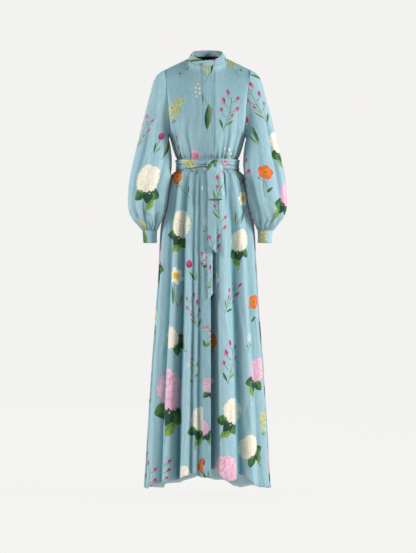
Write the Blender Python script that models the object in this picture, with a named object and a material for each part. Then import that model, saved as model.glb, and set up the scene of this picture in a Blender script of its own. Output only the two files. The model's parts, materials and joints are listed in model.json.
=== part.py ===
"""A full-length caftan in its worn, hollow shape: a band collar, a covered front
placket from neck to hem, bishop sleeves gathered into deep cuffs, a waist gathered under a tied
belt, and a flared skirt that hangs in soft folds. Metres, +Z up, the front faces -Y.

The wearer's shoulders carry it, so the origin is in the middle of the neck, just under the inner
ends of the shoulder seams. Right and left are the wearer's, so the right side is at -X."""

from collections import namedtuple

import bmesh
import bpy
import numpy as np
from mathutils import Vector
from mathutils.bvhtree import BVHTree

# Cloth and sewing sizes.
WALL = 0.0015
SEAM_GAP = 0.0003
LAP_DEPTH = WALL + 0.0007
PLACKET_WALL = 0.0010
PLACKET_LEFT_X = -0.0158
FRONT_EDGE_X = 0.0118
WAIST_RADIUS = 0.1150

# Heights that the pieces share.
WAIST_Z = -0.3870
HEM_Z = -1.5960
CUFF_TOP_Z = -0.6320
CUFF_BOTTOM_Z = -0.6790

# The neck seam is an ellipse tipped down at the front and a little up at the back.
NECK_HALF_WIDTH = 0.0720
NECK_FRONT_Y = -0.0610
NECK_BACK_Y = 0.0630
NECK_SIDE_Z = 0.0130
NECK_FRONT_DIP = 0.0350
NECK_BACK_RISE = 0.0100

# The armhole is an upright loop at the end of the shoulder seam.
SHOULDER_X = 0.1610
ARMHOLE_X = 0.1515
ARMHOLE_LEAN = 0.0095
ARMHOLE_HOLLOW = 0.0050
ARMHOLE_Z = -0.1550
ARMHOLE_HALF_HEIGHT = 0.1255
ARMHOLE_HALF_DEPTH = 0.0550
ARMHOLE_GAP = 0.0009
SHOULDER_Y = 0.0020

CLOTH_COLOUR = (0.36, 0.56, 0.62, 1.0)
BELT_COLOUR = (0.38, 0.58, 0.64, 1.0)

# Side seam of the bodice, from the waist to the underarm.
SideLevel = namedtuple("SideLevel", "z half_width front_y back_y")
SIDE_SEAM = [
    SideLevel(WAIST_Z, 0.1135, -0.0880, 0.0840),
    SideLevel(-0.3660, 0.1140, -0.0885, 0.0845),
    SideLevel(-0.3540, 0.1200, -0.0970, 0.0920),
    SideLevel(-0.3340, 0.1270, -0.1045, 0.0965),
    SideLevel(-0.3080, 0.1345, -0.1110, 0.1000),
    SideLevel(-0.2805, 0.1420, -0.1170, 0.1040),
]

# Centre lines of the bodice above the underarm, a row for each eighth of the armhole.
ChestLevel = namedtuple("ChestLevel", "front_z front_y back_z back_y")
CHEST = [
    ChestLevel(-0.2520, -0.1195, -0.2460, 0.1060),
    ChestLevel(-0.2210, -0.1195, -0.2100, 0.1070),
    ChestLevel(-0.1900, -0.1160, -0.1740, 0.1060),
    ChestLevel(-0.1590, -0.1100, -0.1380, 0.1030),
    ChestLevel(-0.1280, -0.1010, -0.1020, 0.0980),
    ChestLevel(-0.0970, -0.0900, -0.0650, 0.0900),
    ChestLevel(-0.0660, -0.0760, -0.0270, 0.0780),
    ChestLevel(
        NECK_SIDE_Z - NECK_FRONT_DIP, NECK_FRONT_Y, NECK_SIDE_Z + NECK_BACK_RISE, NECK_BACK_Y
    ),
]
SHOULDER_EASE = 1.7

# Soft vertical folds of the bodice: where, how far out at the waist, and how wide.
BodiceFold = namedtuple("BodiceFold", "bearing reach width")
BODICE_FOLDS = [
    BodiceFold(-66.0, 0.0025, 6.0),
    BodiceFold(-43.0, 0.0030, 6.0),
    BodiceFold(-22.0, 0.0022, 5.0),
    BodiceFold(24.0, 0.0022, 5.0),
    BodiceFold(40.0, 0.0032, 6.0),
    BodiceFold(63.0, 0.0026, 6.0),
    BodiceFold(118.0, 0.0030, 7.0),
    BodiceFold(146.0, 0.0028, 7.0),
    BodiceFold(171.0, 0.0030, 7.0),
    BodiceFold(196.0, 0.0030, 7.0),
    BodiceFold(221.0, 0.0028, 7.0),
    BodiceFold(246.0, 0.0030, 7.0),
]
BODICE_FOLD_HEIGHT = 0.120
GATHER = 0.0014
BODICE_GATHER_HEIGHT = 0.045
SKIRT_GATHER_DROP = 0.060

# Plan of the skirt: drop below the waist seam, half width, and depth to the front and back.
SkirtLevel = namedtuple("SkirtLevel", "drop half_width front back")
SKIRT = [
    SkirtLevel(0.0000, 0.1135, 0.0880, 0.0840),
    SkirtLevel(0.0180, 0.1165, 0.0905, 0.0870),
    SkirtLevel(0.0280, 0.1270, 0.0975, 0.0950),
    SkirtLevel(0.0400, 0.1350, 0.1035, 0.1025),
    SkirtLevel(0.0680, 0.1430, 0.1115, 0.1140),
    SkirtLevel(0.0980, 0.1500, 0.1175, 0.1230),
    SkirtLevel(0.1560, 0.1575, 0.1250, 0.1340),
    SkirtLevel(0.1930, 0.1665, 0.1295, 0.1405),
    SkirtLevel(0.2350, 0.1755, 0.1335, 0.1455),
    SkirtLevel(0.4000, 0.1840, 0.1450, 0.1590),
    SkirtLevel(0.5350, 0.1930, 0.1540, 0.1700),
    SkirtLevel(0.8000, 0.2130, 0.1730, 0.1930),
    SkirtLevel(1.2090, 0.2370, 0.2030, 0.2300),
]

# Ridges and valleys of the skirt at the hem, by bearing from the centre front towards the
# wearer's left: how far each stands out, and how far the hem is lifted there.
SkirtFold = namedtuple("SkirtFold", "bearing reach hem_rise")
RIGHT_FRONT_FOLDS = [
    SkirtFold(-90.0, 0.000, 0.002),
    SkirtFold(-79.0, -0.007, 0.002),
    SkirtFold(-65.5, 0.010, 0.010),
    SkirtFold(-51.5, -0.012, 0.034),
    SkirtFold(-39.0, 0.014, 0.041),
    SkirtFold(-30.5, -0.018, 0.049),
    SkirtFold(-21.0, 0.010, 0.064),
    SkirtFold(-15.8, -0.004, 0.070),
    SkirtFold(-12.4, 0.003, 0.074),
    SkirtFold(-8.8, -0.004, 0.064),
    SkirtFold(-4.6, 0.004, 0.060),
    SkirtFold(3.0, 0.003, 0.060),
]
LEFT_FRONT_FOLDS = [
    SkirtFold(-4.6, -0.030, 0.080),
    SkirtFold(6.0, -0.026, 0.087),
    SkirtFold(17.5, 0.014, 0.048),
    SkirtFold(24.0, 0.009, 0.046),
    SkirtFold(32.0, -0.013, 0.068),
    SkirtFold(44.5, 0.013, 0.026),
    SkirtFold(56.0, 0.001, 0.015),
    SkirtFold(68.0, 0.010, 0.010),
    SkirtFold(79.0, -0.007, 0.003),
    SkirtFold(90.0, 0.000, 0.002),
]
BACK_FOLDS = [
    SkirtFold(90.0, 0.000, 0.002),
    SkirtFold(101.0, -0.007, 0.002),
    SkirtFold(113.0, 0.012, 0.000),
    SkirtFold(126.0, -0.013, -0.004),
    SkirtFold(137.0, 0.014, -0.010),
    SkirtFold(146.0, -0.010, -0.018),
    SkirtFold(155.0, 0.013, -0.018),
    SkirtFold(163.5, -0.013, 0.008),
    SkirtFold(171.5, 0.013, 0.003),
    SkirtFold(179.0, -0.010, 0.014),
    SkirtFold(186.0, 0.011, 0.024),
    SkirtFold(192.5, -0.012, 0.018),
    SkirtFold(200.0, 0.014, 0.004),
    SkirtFold(209.0, -0.014, 0.000),
    SkirtFold(219.0, 0.014, -0.006),
    SkirtFold(231.0, -0.013, -0.014),
    SkirtFold(245.0, 0.012, -0.008),
    SkirtFold(258.0, -0.007, -0.002),
    SkirtFold(270.0, 0.000, 0.002),
]
# How much of a fold's reach it has at each share of the way from waist to hem.
FOLD_SHARE_DOWN = [0.0, 0.03, 0.11, 0.40, 1.0]
FOLD_SHARE = [0.0, 0.13, 0.36, 0.72, 1.0]
SKIRT_ROWS = [0.0, 0.0145, 0.0225, 0.040, 0.075, 0.125, 0.195, 0.290, 0.420, 0.580, 0.780, 1.0]
FRONT_STEPS = 3
BACK_STEPS = 3

# Rings of the right sleeve in front view: outer edge, inner edge, half depth and how far the
# ring's middle is forward. The left sleeve is its mirror.
SleeveRing = namedtuple("SleeveRing", "outer_x outer_z inner_x inner_z half_depth forward")
SLEEVE = [
    SleeveRing(0.1740, -0.0370, 0.1430, -0.2830, 0.0560, 0.000),
    SleeveRing(0.1900, -0.0500, 0.1436, -0.2850, 0.0580, 0.000),
    SleeveRing(0.2040, -0.0780, 0.1440, -0.2870, 0.0600, 0.001),
    SleeveRing(0.2140, -0.1150, 0.1440, -0.2900, 0.0620, 0.002),
    SleeveRing(0.2270, -0.1620, 0.1430, -0.2950, 0.0640, 0.003),
    SleeveRing(0.2400, -0.2120, 0.1405, -0.3050, 0.0660, 0.005),
    SleeveRing(0.2530, -0.2680, 0.1370, -0.3270, 0.0680, 0.008),
    SleeveRing(0.2670, -0.3260, 0.1340, -0.3600, 0.0705, 0.012),
    SleeveRing(0.2810, -0.3820, 0.1345, -0.3990, 0.0735, 0.017),
    SleeveRing(0.2915, -0.4360, 0.1420, -0.4420, 0.0760, 0.022),
    SleeveRing(0.2975, -0.4900, 0.1500, -0.4900, 0.0770, 0.026),
    SleeveRing(0.2985, -0.5300, 0.1550, -0.5300, 0.0760, 0.029),
    SleeveRing(0.2920, -0.5620, 0.1620, -0.5610, 0.0700, 0.030),
    SleeveRing(0.2780, -0.5930, 0.1700, -0.5910, 0.0590, 0.030),
    SleeveRing(0.2580, -0.6160, 0.1790, -0.6150, 0.0460, 0.030),
    SleeveRing(0.2430, CUFF_TOP_Z + SEAM_GAP, 0.1890, CUFF_TOP_Z + SEAM_GAP, 0.0330, 0.030),
]
SLEEVE_COLUMNS = 32
SLEEVE_GATHER = 0.0022
SLEEVE_GATHER_RINGS = 4
# Long soft folds of the sleeve, by angle round it from its outer edge over the front.
SleeveFold = namedtuple("SleeveFold", "angle reach width")
SLEEVE_FOLDS = [
    SleeveFold(35.0, 0.0040, 13.0),
    SleeveFold(72.0, 0.0060, 13.0),
    SleeveFold(108.0, 0.0060, 13.0),
    SleeveFold(145.0, 0.0040, 12.0),
    SleeveFold(215.0, 0.0040, 12.0),
    SleeveFold(252.0, 0.0060, 13.0),
    SleeveFold(290.0, 0.0060, 13.0),
    SleeveFold(326.0, 0.0040, 13.0),
]
# The cuff is a tube that narrows a little towards the hand.
CuffRing = namedtuple("CuffRing", "z middle_x half_width half_depth")
CUFF = [
    CuffRing(CUFF_TOP_Z, 0.2155, 0.0275, 0.0335),
    CuffRing(-0.6480, 0.2152, 0.0268, 0.0330),
    CuffRing(-0.6640, 0.2146, 0.0260, 0.0322),
    CuffRing(CUFF_BOTTOM_Z, 0.2140, 0.0256, 0.0316),
]
CUFF_FORWARD = 0.030
CUFF_COLUMNS = 24

# Band collar: height above the neck seam and the ellipse at each level.
CollarLevel = namedtuple("CollarLevel", "half_width front_y back_y rise front_dip back_rise")
COLLAR = [
    CollarLevel(0.0718, -0.0608, 0.0628, 0.0014, 0.0350, 0.0100),
    CollarLevel(0.0674, -0.0582, 0.0618, 0.0085, 0.0352, 0.0110),
    CollarLevel(0.0622, -0.0552, 0.0600, 0.0165, 0.0356, 0.0120),
    CollarLevel(0.0560, -0.0518, 0.0578, 0.0252, 0.0366, 0.0130),
]
COLLAR_COLUMNS = 33
COLLAR_OPENING_X = -0.0156
COLLAR_OPENING = 0.0012
COLLAR_RADIUS = 0.0600
COLLAR_CORNER = 0.0035

# Belt: a soft band with two lengthwise creases, squeezed on the right side of the knot.
BeltRow = namedtuple("BeltRow", "rise reach")
BELT_HALF_WIDTH = 0.1182
BELT_FRONT = 0.0926
BELT_BACK = 0.0910
BELT_MIDDLE_Z = -0.3860
BELT_ROWS = [
    BeltRow(0.0180, 0.0030),
    BeltRow(0.0105, 0.0024),
    BeltRow(0.0030, 0.0006),
    BeltRow(-0.0030, 0.0020),
    BeltRow(-0.0105, 0.0008),
    BeltRow(-0.0180, 0.0026),
]
BELT_COLUMNS = 48
KNOT_BEARING = 4.0
KNOT_SQUEEZE = 0.62
KNOT_SQUEEZE_RIGHT = 30.0
KNOT_SQUEEZE_LEFT = 12.0

KNOT_MIDDLE = (0.0250, -0.0996, -0.3890)
KNOT_HALF = (0.0225, 0.0046, 0.0104)

# The belt's hanging pieces lie this far off whatever is under them.
HANG_CLEARANCE = WALL + 0.0018
HANG_REACH = 0.0090

# Each end of the belt, as its two long edges in front view.
TailRow = namedtuple("TailRow", "left_x left_z right_x right_z")
UPPER_TAIL = [
    TailRow(0.0090, -0.3992, 0.0410, -0.3992),
    TailRow(0.0070, -0.4080, 0.0450, -0.4080),
    TailRow(0.0050, -0.4250, 0.0480, -0.4250),
    TailRow(0.0035, -0.4500, 0.0500, -0.4500),
    TailRow(0.0010, -0.5000, 0.0530, -0.5000),
    TailRow(0.0000, -0.5450, 0.0530, -0.5450),
    TailRow(0.0005, -0.5900, 0.0520, -0.5950),
    TailRow(0.0020, -0.6400, 0.0495, -0.6570),
    TailRow(0.0040, -0.6900, 0.0455, -0.7330),
]
LOWER_TAIL = [
    TailRow(0.0110, -0.3998, 0.0390, -0.3998),
    TailRow(0.0085, -0.4080, 0.0420, -0.4080),
    TailRow(0.0070, -0.4300, 0.0425, -0.4300),
    TailRow(0.0060, -0.4600, 0.0430, -0.4600),
    TailRow(0.0030, -0.5300, 0.0430, -0.5300),
    TailRow(0.0008, -0.6100, 0.0400, -0.6050),
    TailRow(-0.0003, -0.6900, 0.0355, -0.6800),
    TailRow(-0.0010, -0.7700, 0.0328, -0.7450),
    TailRow(0.0000, -0.8350, 0.0320, -0.8020),
    TailRow(0.0015, -0.8920, 0.0312, -0.8520),
]
TAIL_COLUMNS = 6

# The loop of the bow: it rolls over the knot, hangs to a fold and goes up again behind.
LoopRow = namedtuple("LoopRow", "z off middle_x half_width")
LOOP = [
    LoopRow(-0.3752, -0.0004, 0.0245, 0.0235),
    LoopRow(-0.3725, 0.0010, 0.0245, 0.0240),
    LoopRow(-0.3715, 0.0036, 0.0246, 0.0246),
    LoopRow(-0.3740, 0.0054, 0.0250, 0.0256),
    LoopRow(-0.3810, 0.0074, 0.0256, 0.0270),
    LoopRow(-0.3900, 0.0078, 0.0264, 0.0284),
    LoopRow(-0.4040, 0.0078, 0.0275, 0.0300),
    LoopRow(-0.4250, 0.0076, 0.0288, 0.0310),
    LoopRow(-0.4500, 0.0070, 0.0300, 0.0312),
    LoopRow(-0.4800, 0.0074, 0.0312, 0.0308),
    LoopRow(-0.5080, 0.0068, 0.0322, 0.0303),
    LoopRow(-0.5160, 0.0058, 0.0325, 0.0302),
    LoopRow(-0.5190, 0.0038, 0.0326, 0.0301),
    LoopRow(-0.5170, 0.0018, 0.0325, 0.0300),
    LoopRow(-0.5050, 0.0008, 0.0320, 0.0298),
    LoopRow(-0.4700, 0.0004, 0.0305, 0.0285),
    LoopRow(-0.4350, 0.0004, 0.0290, 0.0260),
    LoopRow(-0.4120, 0.0004, 0.0275, 0.0220),
]
LOOP_FRONT_ROWS = slice(4, 10)
LOOP_COLUMNS = 6


def field(table, name):
    """One named column of a table, as an array."""
    return np.array([getattr(row, name) for row in table])


def glide(at, knots, values):
    """Smooth curve through the knots that never swings past them: a monotone cubic."""
    knots = np.asarray(knots, float)
    values = np.asarray(values, float)
    span = np.diff(knots)
    slope = np.diff(values) / span
    tangent = np.zeros(len(knots))
    tangent[0] = slope[0]
    tangent[-1] = slope[-1]
    before = slope[:-1]
    after = slope[1:]
    same_way = before * after > 0
    total = np.where(same_way, before + after, 1.0)
    tangent[1:-1] = np.where(same_way, 2 * before * after / total, 0.0)
    at = np.clip(np.asarray(at, float), knots[0], knots[-1])
    i = np.clip(np.searchsorted(knots, at, side="right") - 1, 0, len(span) - 1)
    s = (at - knots[i]) / span[i]
    hold_start = (1 + 2 * s) * (1 - s) ** 2
    hold_end = s * s * (3 - 2 * s)
    lean_start = s * (1 - s) ** 2
    lean_end = s * s * (s - 1)
    moved = span[i] * (lean_start * tangent[i] + lean_end * tangent[i + 1])
    return hold_start * values[i] + hold_end * values[i + 1] + moved


def ease(share):
    """0 below 0, 1 above 1, and smooth between."""
    share = np.clip(share, 0.0, 1.0)
    return share * share * (3 - 2 * share)


def unit(vectors):
    return vectors / np.maximum(np.linalg.norm(vectors, axis=-1, keepdims=True), 1e-12)


def outward(points, away_from, closed=False):
    """Surface normals of a grid of points (rows, columns, 3), facing away from a reference."""
    down = np.gradient(points, axis=0)
    if closed:
        across = (np.roll(points, -1, axis=1) - np.roll(points, 1, axis=1)) / 2
    else:
        across = np.gradient(points, axis=1)
    normals = unit(np.cross(down, across))
    facing = np.sum(normals * (points - away_from), axis=-1, keepdims=True)
    return normals * np.where(np.median(facing) < 0, -1.0, 1.0)


def share_edge(first, second):
    """Gives two walls that meet at a seam one normal there, so that their edges are mitred."""
    both = unit(first + second)
    first[...] = both
    second[...] = both


def cloth_material(name, colour):
    found = bpy.data.materials.get(name)
    if found:
        return found
    material = bpy.data.materials.new(name)
    material.use_nodes = True
    shader = material.node_tree.nodes["Principled BSDF"]
    shader.inputs["Base Color"].default_value = colour
    shader.inputs["Roughness"].default_value = 0.55
    shader.inputs["Metallic"].default_value = 0.0
    return material


def solid(name, outer, inner, material, closed=False):
    """Closed wall between two grids of points. A closed grid joins its last column to its first."""
    rows, columns = outer.shape[:2]
    points = np.concatenate([outer.reshape(-1, 3), inner.reshape(-1, 3)])
    inner_start = rows * columns
    faces = []

    def corner(row, column, layer):
        return layer * inner_start + row * columns + column % columns

    spans = columns if closed else columns - 1
    for row in range(rows - 1):
        for column in range(spans):
            for layer in (0, 1):
                face = [
                    corner(row, column, layer),
                    corner(row, column + 1, layer),
                    corner(row + 1, column + 1, layer),
                    corner(row + 1, column, layer),
                ]
                faces.append(face if layer == 0 else face[::-1])
    for row in (0, rows - 1):
        for column in range(spans):
            faces.append(
                [
                    corner(row, column, 0),
                    corner(row, column, 1),
                    corner(row, column + 1, 1),
                    corner(row, column + 1, 0),
                ]
            )
    if not closed:
        for column in (0, columns - 1):
            for row in range(rows - 1):
                faces.append(
                    [
                        corner(row, column, 0),
                        corner(row + 1, column, 0),
                        corner(row + 1, column, 1),
                        corner(row, column, 1),
                    ]
                )
    mesh = bpy.data.meshes.new(name)
    mesh.from_pydata([tuple(point) for point in points], [], faces)
    tidy = bmesh.new()
    tidy.from_mesh(mesh)
    bmesh.ops.recalc_face_normals(tidy, faces=tidy.faces)
    tidy.to_mesh(mesh)
    tidy.free()
    mesh.materials.append(material)
    mesh.shade_smooth()
    made = bpy.data.objects.new(name, mesh)
    bpy.context.scene.collection.objects.link(made)
    return made


def gather_waves(columns, plain_at_start, plain_at_end):
    """+1 and -1 in turn across a panel, and 0 on the columns next to its seams and edges."""
    waves = np.where(np.arange(columns) % 2 == 0, 1.0, -1.0)
    waves[:plain_at_start] = 0.0
    waves[columns - plain_at_end :] = 0.0
    return waves


# The upper body.


def armhole(angle):
    """Point of the left armhole, by angle in degrees from the shoulder, over the front."""
    a = np.radians(angle)
    hollow = ARMHOLE_HOLLOW * np.sin(a) ** 2
    x = ARMHOLE_X + ARMHOLE_LEAN * np.cos(a) - hollow
    y = -ARMHOLE_HALF_DEPTH * np.sin(a) + SHOULDER_Y * (1 + np.cos(a)) / 2
    z = ARMHOLE_Z + ARMHOLE_HALF_HEIGHT * np.cos(a)
    return np.stack([x, y, z], axis=-1)


def neck_and_shoulder(sine, front):
    """Top edge of the bodice, by x as a share of the shoulder's: the neck seam, then the
    shoulder seam."""
    x = SHOULDER_X * sine
    across = np.abs(x)
    turn = np.arcsin(np.clip(across / NECK_HALF_WIDTH, 0, 1))
    y = (NECK_FRONT_Y if front else NECK_BACK_Y) * np.cos(turn)
    z = NECK_SIDE_Z + (-NECK_FRONT_DIP if front else NECK_BACK_RISE) * np.cos(turn)
    beyond = np.clip((across - NECK_HALF_WIDTH) / (SHOULDER_X - NECK_HALF_WIDTH), 0, 1)
    shoulder_end = armhole(0.0)
    y = y + beyond * shoulder_end[1]
    z = z + beyond * (shoulder_end[2] - NECK_SIDE_Z)
    return np.stack([x, y, z], axis=-1)


def bodice_levels(front):
    """For each level: the centre point, the side point, and how much of the shoulder's shape
    it has."""
    levels = []
    for row in SIDE_SEAM:
        centre = (0.0, row.front_y if front else row.back_y, row.z)
        levels.append((centre, (row.half_width, 0.0, row.z), 0.0))
    for i, row in enumerate(CHEST, start=1):
        share = i / len(CHEST)
        angle = 180.0 * (1 - share)
        side = armhole(angle if front else 360.0 - angle)
        centre = (0.0, row.front_y, row.front_z) if front else (0.0, row.back_y, row.back_z)
        levels.append((centre, tuple(side), share**SHOULDER_EASE))
    return levels


def bodice_row(level, top, bearings, front):
    """Points of one level. Bearings are degrees from the centre of that side, + to the left."""
    centre, side, shoulder_share = level
    a = np.radians(bearings)
    across = np.sin(a)
    round_it = np.cos(a)
    x = side[0] * across
    y = side[1] + (centre[1] - side[1]) * round_it
    z = side[2] + (centre[2] - side[2]) * round_it
    row = np.stack([x, y, z], axis=-1)
    if shoulder_share > 0:
        top_centre, top_side, _ = top
        plain_y = top_side[1] + (top_centre[1] - top_side[1]) * round_it
        plain_z = top_side[2] + (top_centre[2] - top_side[2]) * round_it
        seam = neck_and_shoulder(across, front)
        row[:, 1] += shoulder_share * (seam[:, 1] - plain_y)
        row[:, 2] += shoulder_share * (seam[:, 2] - plain_z)
    return row


def top_bearings(steps_neck, steps_shoulder):
    """Bearings that meet the neck seam evenly and then the shoulder seam, from 0 to 90."""
    turns = np.linspace(0, np.pi / 2, steps_neck + 1)
    neck = np.degrees(np.arcsin(NECK_HALF_WIDTH * np.sin(turns) / SHOULDER_X))
    shares = np.linspace(NECK_HALF_WIDTH / SHOULDER_X, 1.0, steps_shoulder + 1)
    shoulder = np.degrees(np.arcsin(shares))
    return np.concatenate([neck, shoulder[1:]])


def bodice_fold_offset(bearing, height):
    """How far a bodice point stands out, by its bearing round the body and height above the
    waist."""
    offset = np.zeros_like(bearing)
    for fold in BODICE_FOLDS:
        for turn in (-360.0, 0.0, 360.0):
            offset += fold.reach * np.exp(-(((bearing - fold.bearing - turn) / fold.width) ** 2))
    grow = ease((height - 0.016) / 0.02)
    return offset * grow * ease(1 - height / BODICE_FOLD_HEIGHT)


def lap_in(x):
    """How far the left front lies in under the right one, by how far across it is."""
    return -LAP_DEPTH * (1 - ease((x - FRONT_EDGE_X - 0.003) / 0.016))


def bodice_grid(front, lower_bearings, upper_bearings, waves, round_bearing, lapped=False):
    """Grid of outer points of a bodice panel, from the waist up."""
    levels = bodice_levels(front)
    rows = []
    for level in levels:
        share = level[2] ** 0.5
        bearings = (1 - share) * lower_bearings + share * upper_bearings
        row = bodice_row(level, levels[-1], bearings, front)
        height = level[1][2] - WAIST_Z
        radial = unit(np.stack([row[:, 0], row[:, 1] * 1.3, np.zeros(len(row))], axis=-1))
        offset = bodice_fold_offset(round_bearing(bearings), np.full(len(row), height))
        offset = offset + GATHER * waves * np.exp(-height / BODICE_GATHER_HEIGHT)
        if lapped:
            offset = offset + lap_in(row[:, 0])
        row = row + radial * offset[:, None]
        rows.append(row)
    grid = np.array(rows)
    grid[0, :, 2] += SEAM_GAP / 2
    return grid


def pull_in_side(grid, column, seam_rows, toward):
    """Moves a panel's side edge half a seam's gap towards its own middle, below the underarm."""
    grid[:seam_rows, column, 1] += toward * SEAM_GAP / 2


def build_bodice(material):
    seam_rows = len(SIDE_SEAM)
    neck_steps, shoulder_steps = 5, 7
    half_top = top_bearings(neck_steps, shoulder_steps)
    placket_edges = np.array([PLACKET_LEFT_X, FRONT_EDGE_X])
    placket_lower = np.degrees(np.arcsin(placket_edges / WAIST_RADIUS))
    placket_upper = np.degrees(np.arcsin(placket_edges / SHOULDER_X))
    placket_steps = 3

    def spread(start, stop, steps):
        return np.linspace(start, stop, steps + 1)

    # Right front: from the side seam to the placket's left edge, then across the placket.
    keep = half_top > abs(placket_upper[0]) + 1.5
    top_side = -half_top[keep][::-1]
    outer_steps = len(top_side)
    outer = spread(-90.0, placket_lower[0], outer_steps)
    lower = np.concatenate([outer, spread(*placket_lower, placket_steps)[1:]])
    upper = np.concatenate([top_side, spread(*placket_upper, placket_steps)])
    waves = gather_waves(len(lower), 2, placket_steps + 2)
    right = bodice_grid(True, lower, upper, waves, lambda b: b)
    # The placket keeps its width all the way up.
    placket_start = outer_steps
    for row in range(len(right)):
        share = np.linspace(0, 1, placket_steps + 1)
        straighten(right[row], placket_start, PLACKET_LEFT_X + share * (FRONT_EDGE_X - PLACKET_LEFT_X))

    # Left front: from its hidden edge under the placket to the side seam.
    outer = spread(placket_lower[1], 90.0, outer_steps)
    lower = np.concatenate([spread(*placket_lower, 2), outer[1:]])
    keep = half_top > placket_upper[1] + 2.5
    upper = np.concatenate([spread(*placket_upper, 2), half_top[keep]])
    waves = gather_waves(len(lower), 4, 2)
    left = bodice_grid(True, lower, upper, waves, lambda b: b, lapped=True)

    # Back, from the wearer's left side seam to the right one.
    upper = np.concatenate([half_top[::-1], -half_top[1:]])
    lower = spread(90.0, -90.0, len(upper) - 1)
    waves = gather_waves(len(lower), 2, 2)
    back = bodice_grid(False, lower, upper, waves, lambda b: 180.0 - b)

    pull_in_side(right, 0, seam_rows, -1)
    pull_in_side(left, -1, seam_rows, -1)
    pull_in_side(back, 0, seam_rows, 1)
    pull_in_side(back, -1, seam_rows, 1)
    for grid, direction in ((right, -1), (left, -1), (back, 1)):
        on_shoulder = np.abs(grid[-1, :, 0]) > NECK_HALF_WIDTH - 0.001
        grid[-1, on_shoulder, 1] += direction * SEAM_GAP / 2

    axis = np.array([0.0, 0.0, -0.30])
    normals = {}
    for name, grid in (("right", right), ("left", left), ("back", back)):
        normals[name] = outward(grid, axis)
    share_edge(normals["right"][:seam_rows, 0], normals["back"][:seam_rows, -1])
    share_edge(normals["left"][:seam_rows, -1], normals["back"][:seam_rows, 0])
    shoulder_tilt = unit(np.array([0.45, 0.0, 0.89]))
    for name, grid in (("right", right), ("left", left), ("back", back)):
        on_shoulder = np.abs(grid[-1, :, 0]) > NECK_HALF_WIDTH - 0.001
        side = np.sign(grid[-1, on_shoulder, 0])
        mitre = np.stack([side * shoulder_tilt[0], 0 * side, 0 * side + shoulder_tilt[2]], axis=-1)
        normals[name][-1, on_shoulder] = mitre

    for name, grid in (("right", right), ("left", left), ("back", back)):
        label = "bodice_back" if name == "back" else "bodice_front_" + name
        solid(label, grid, grid - WALL * normals[name], material)
    lift = SEAM_GAP
    strip = right[:, placket_start:].copy()
    strip[0, :, 2] += SEAM_GAP
    facing = normals["right"][:, placket_start:]
    solid("bodice_placket", strip + (lift + PLACKET_WALL) * facing, strip + lift * facing, material)


def straighten(row, start, xs):
    """Puts the last points of a row at the given x, following the row's own curve."""
    order = np.argsort(row[:, 0])
    for axis in (1, 2):
        row[start:, axis] = np.interp(xs, row[order, 0], row[order, axis])
    row[start:, 0] = xs


def build_collar(material):
    """Stand collar, open at the front, with its top corners rounded."""
    opening = np.degrees(np.arcsin(COLLAR_OPENING / 2 / COLLAR_RADIUS))
    middle = np.degrees(np.arcsin(COLLAR_OPENING_X / COLLAR_RADIUS))
    bearings = np.linspace(middle + opening, 360.0 + middle - opening, COLLAR_COLUMNS)
    near_end = np.zeros(COLLAR_COLUMNS)
    near_end[[0, -1]] = 1.0
    rows = []
    for i, level in enumerate(COLLAR):
        a = np.radians(bearings)
        front = np.cos(a) > 0
        x = level.half_width * np.sin(a)
        y = np.where(front, level.front_y, -level.back_y) * np.cos(a)
        z = NECK_SIDE_Z + level.rise - np.where(front, level.front_dip, level.back_rise) * np.cos(a)
        z = z - near_end * COLLAR_CORNER * (i == len(COLLAR) - 1)
        rows.append(np.stack([x, y, z], axis=-1))
    grid = np.array(rows)
    normals = outward(grid, np.array([0.0, 0.0, 0.0]))
    solid("collar", grid, grid - WALL * normals, material)


# The sleeves.


def sleeve_grid():
    """Outer points of the left sleeve, from the armhole down, and the middle of each ring."""
    angles = np.arange(SLEEVE_COLUMNS) * 360.0 / SLEEVE_COLUMNS
    a = np.radians(angles)
    first = armhole(angles) + ARMHOLE_GAP * np.array([1.0, 0.0, 0.0])
    rows = [first]
    waves = np.where(np.arange(SLEEVE_COLUMNS) % 2 == 0, 1.0, -1.0)
    for i, ring in enumerate(SLEEVE):
        outer = np.array([ring.outer_x, 0.0, ring.outer_z])
        inner = np.array([ring.inner_x, 0.0, ring.inner_z])
        middle = (outer + inner) / 2
        half = (outer - inner) / 2
        ahead = np.array([0.0, -1.0, 0.0])
        row = middle + np.cos(a)[:, None] * half + np.sin(a)[:, None] * ring.half_depth * ahead
        row[:, 1] -= ring.forward
        share = (i + 1) / len(SLEEVE)
        folds = np.zeros(SLEEVE_COLUMNS)
        for fold in SLEEVE_FOLDS:
            folds += fold.reach * np.exp(-(((angles - fold.angle) / fold.width) ** 2))
        strength = ease((share - 0.25) / 0.5) * (1 - ease((share - 0.88) / 0.12))
        to_cuff = len(SLEEVE) - 1 - i
        gather = SLEEVE_GATHER * max(0.0, 1 - to_cuff / SLEEVE_GATHER_RINGS)
        out = unit(row - (middle - ring.forward * np.array([0.0, 1.0, 0.0])))
        row = row + out * (folds * strength + gather * waves)[:, None]
        rows.append(row)
    return np.array(rows)


def build_sleeve(side, sign, material):
    grid = sleeve_grid()
    middles = grid.mean(axis=1, keepdims=True)
    normals = outward(grid, middles, closed=True)
    normals[0] = unit(grid[0] - middles[0])
    level = unit((grid[-1] - middles[-1]) * np.array([1.0, 1.0, 0.0]))
    normals[-1] = level
    inner = grid - WALL * normals
    flip = np.array([sign, 1.0, 1.0])
    solid("sleeve_" + side, grid * flip, inner * flip, material, closed=True)


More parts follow.
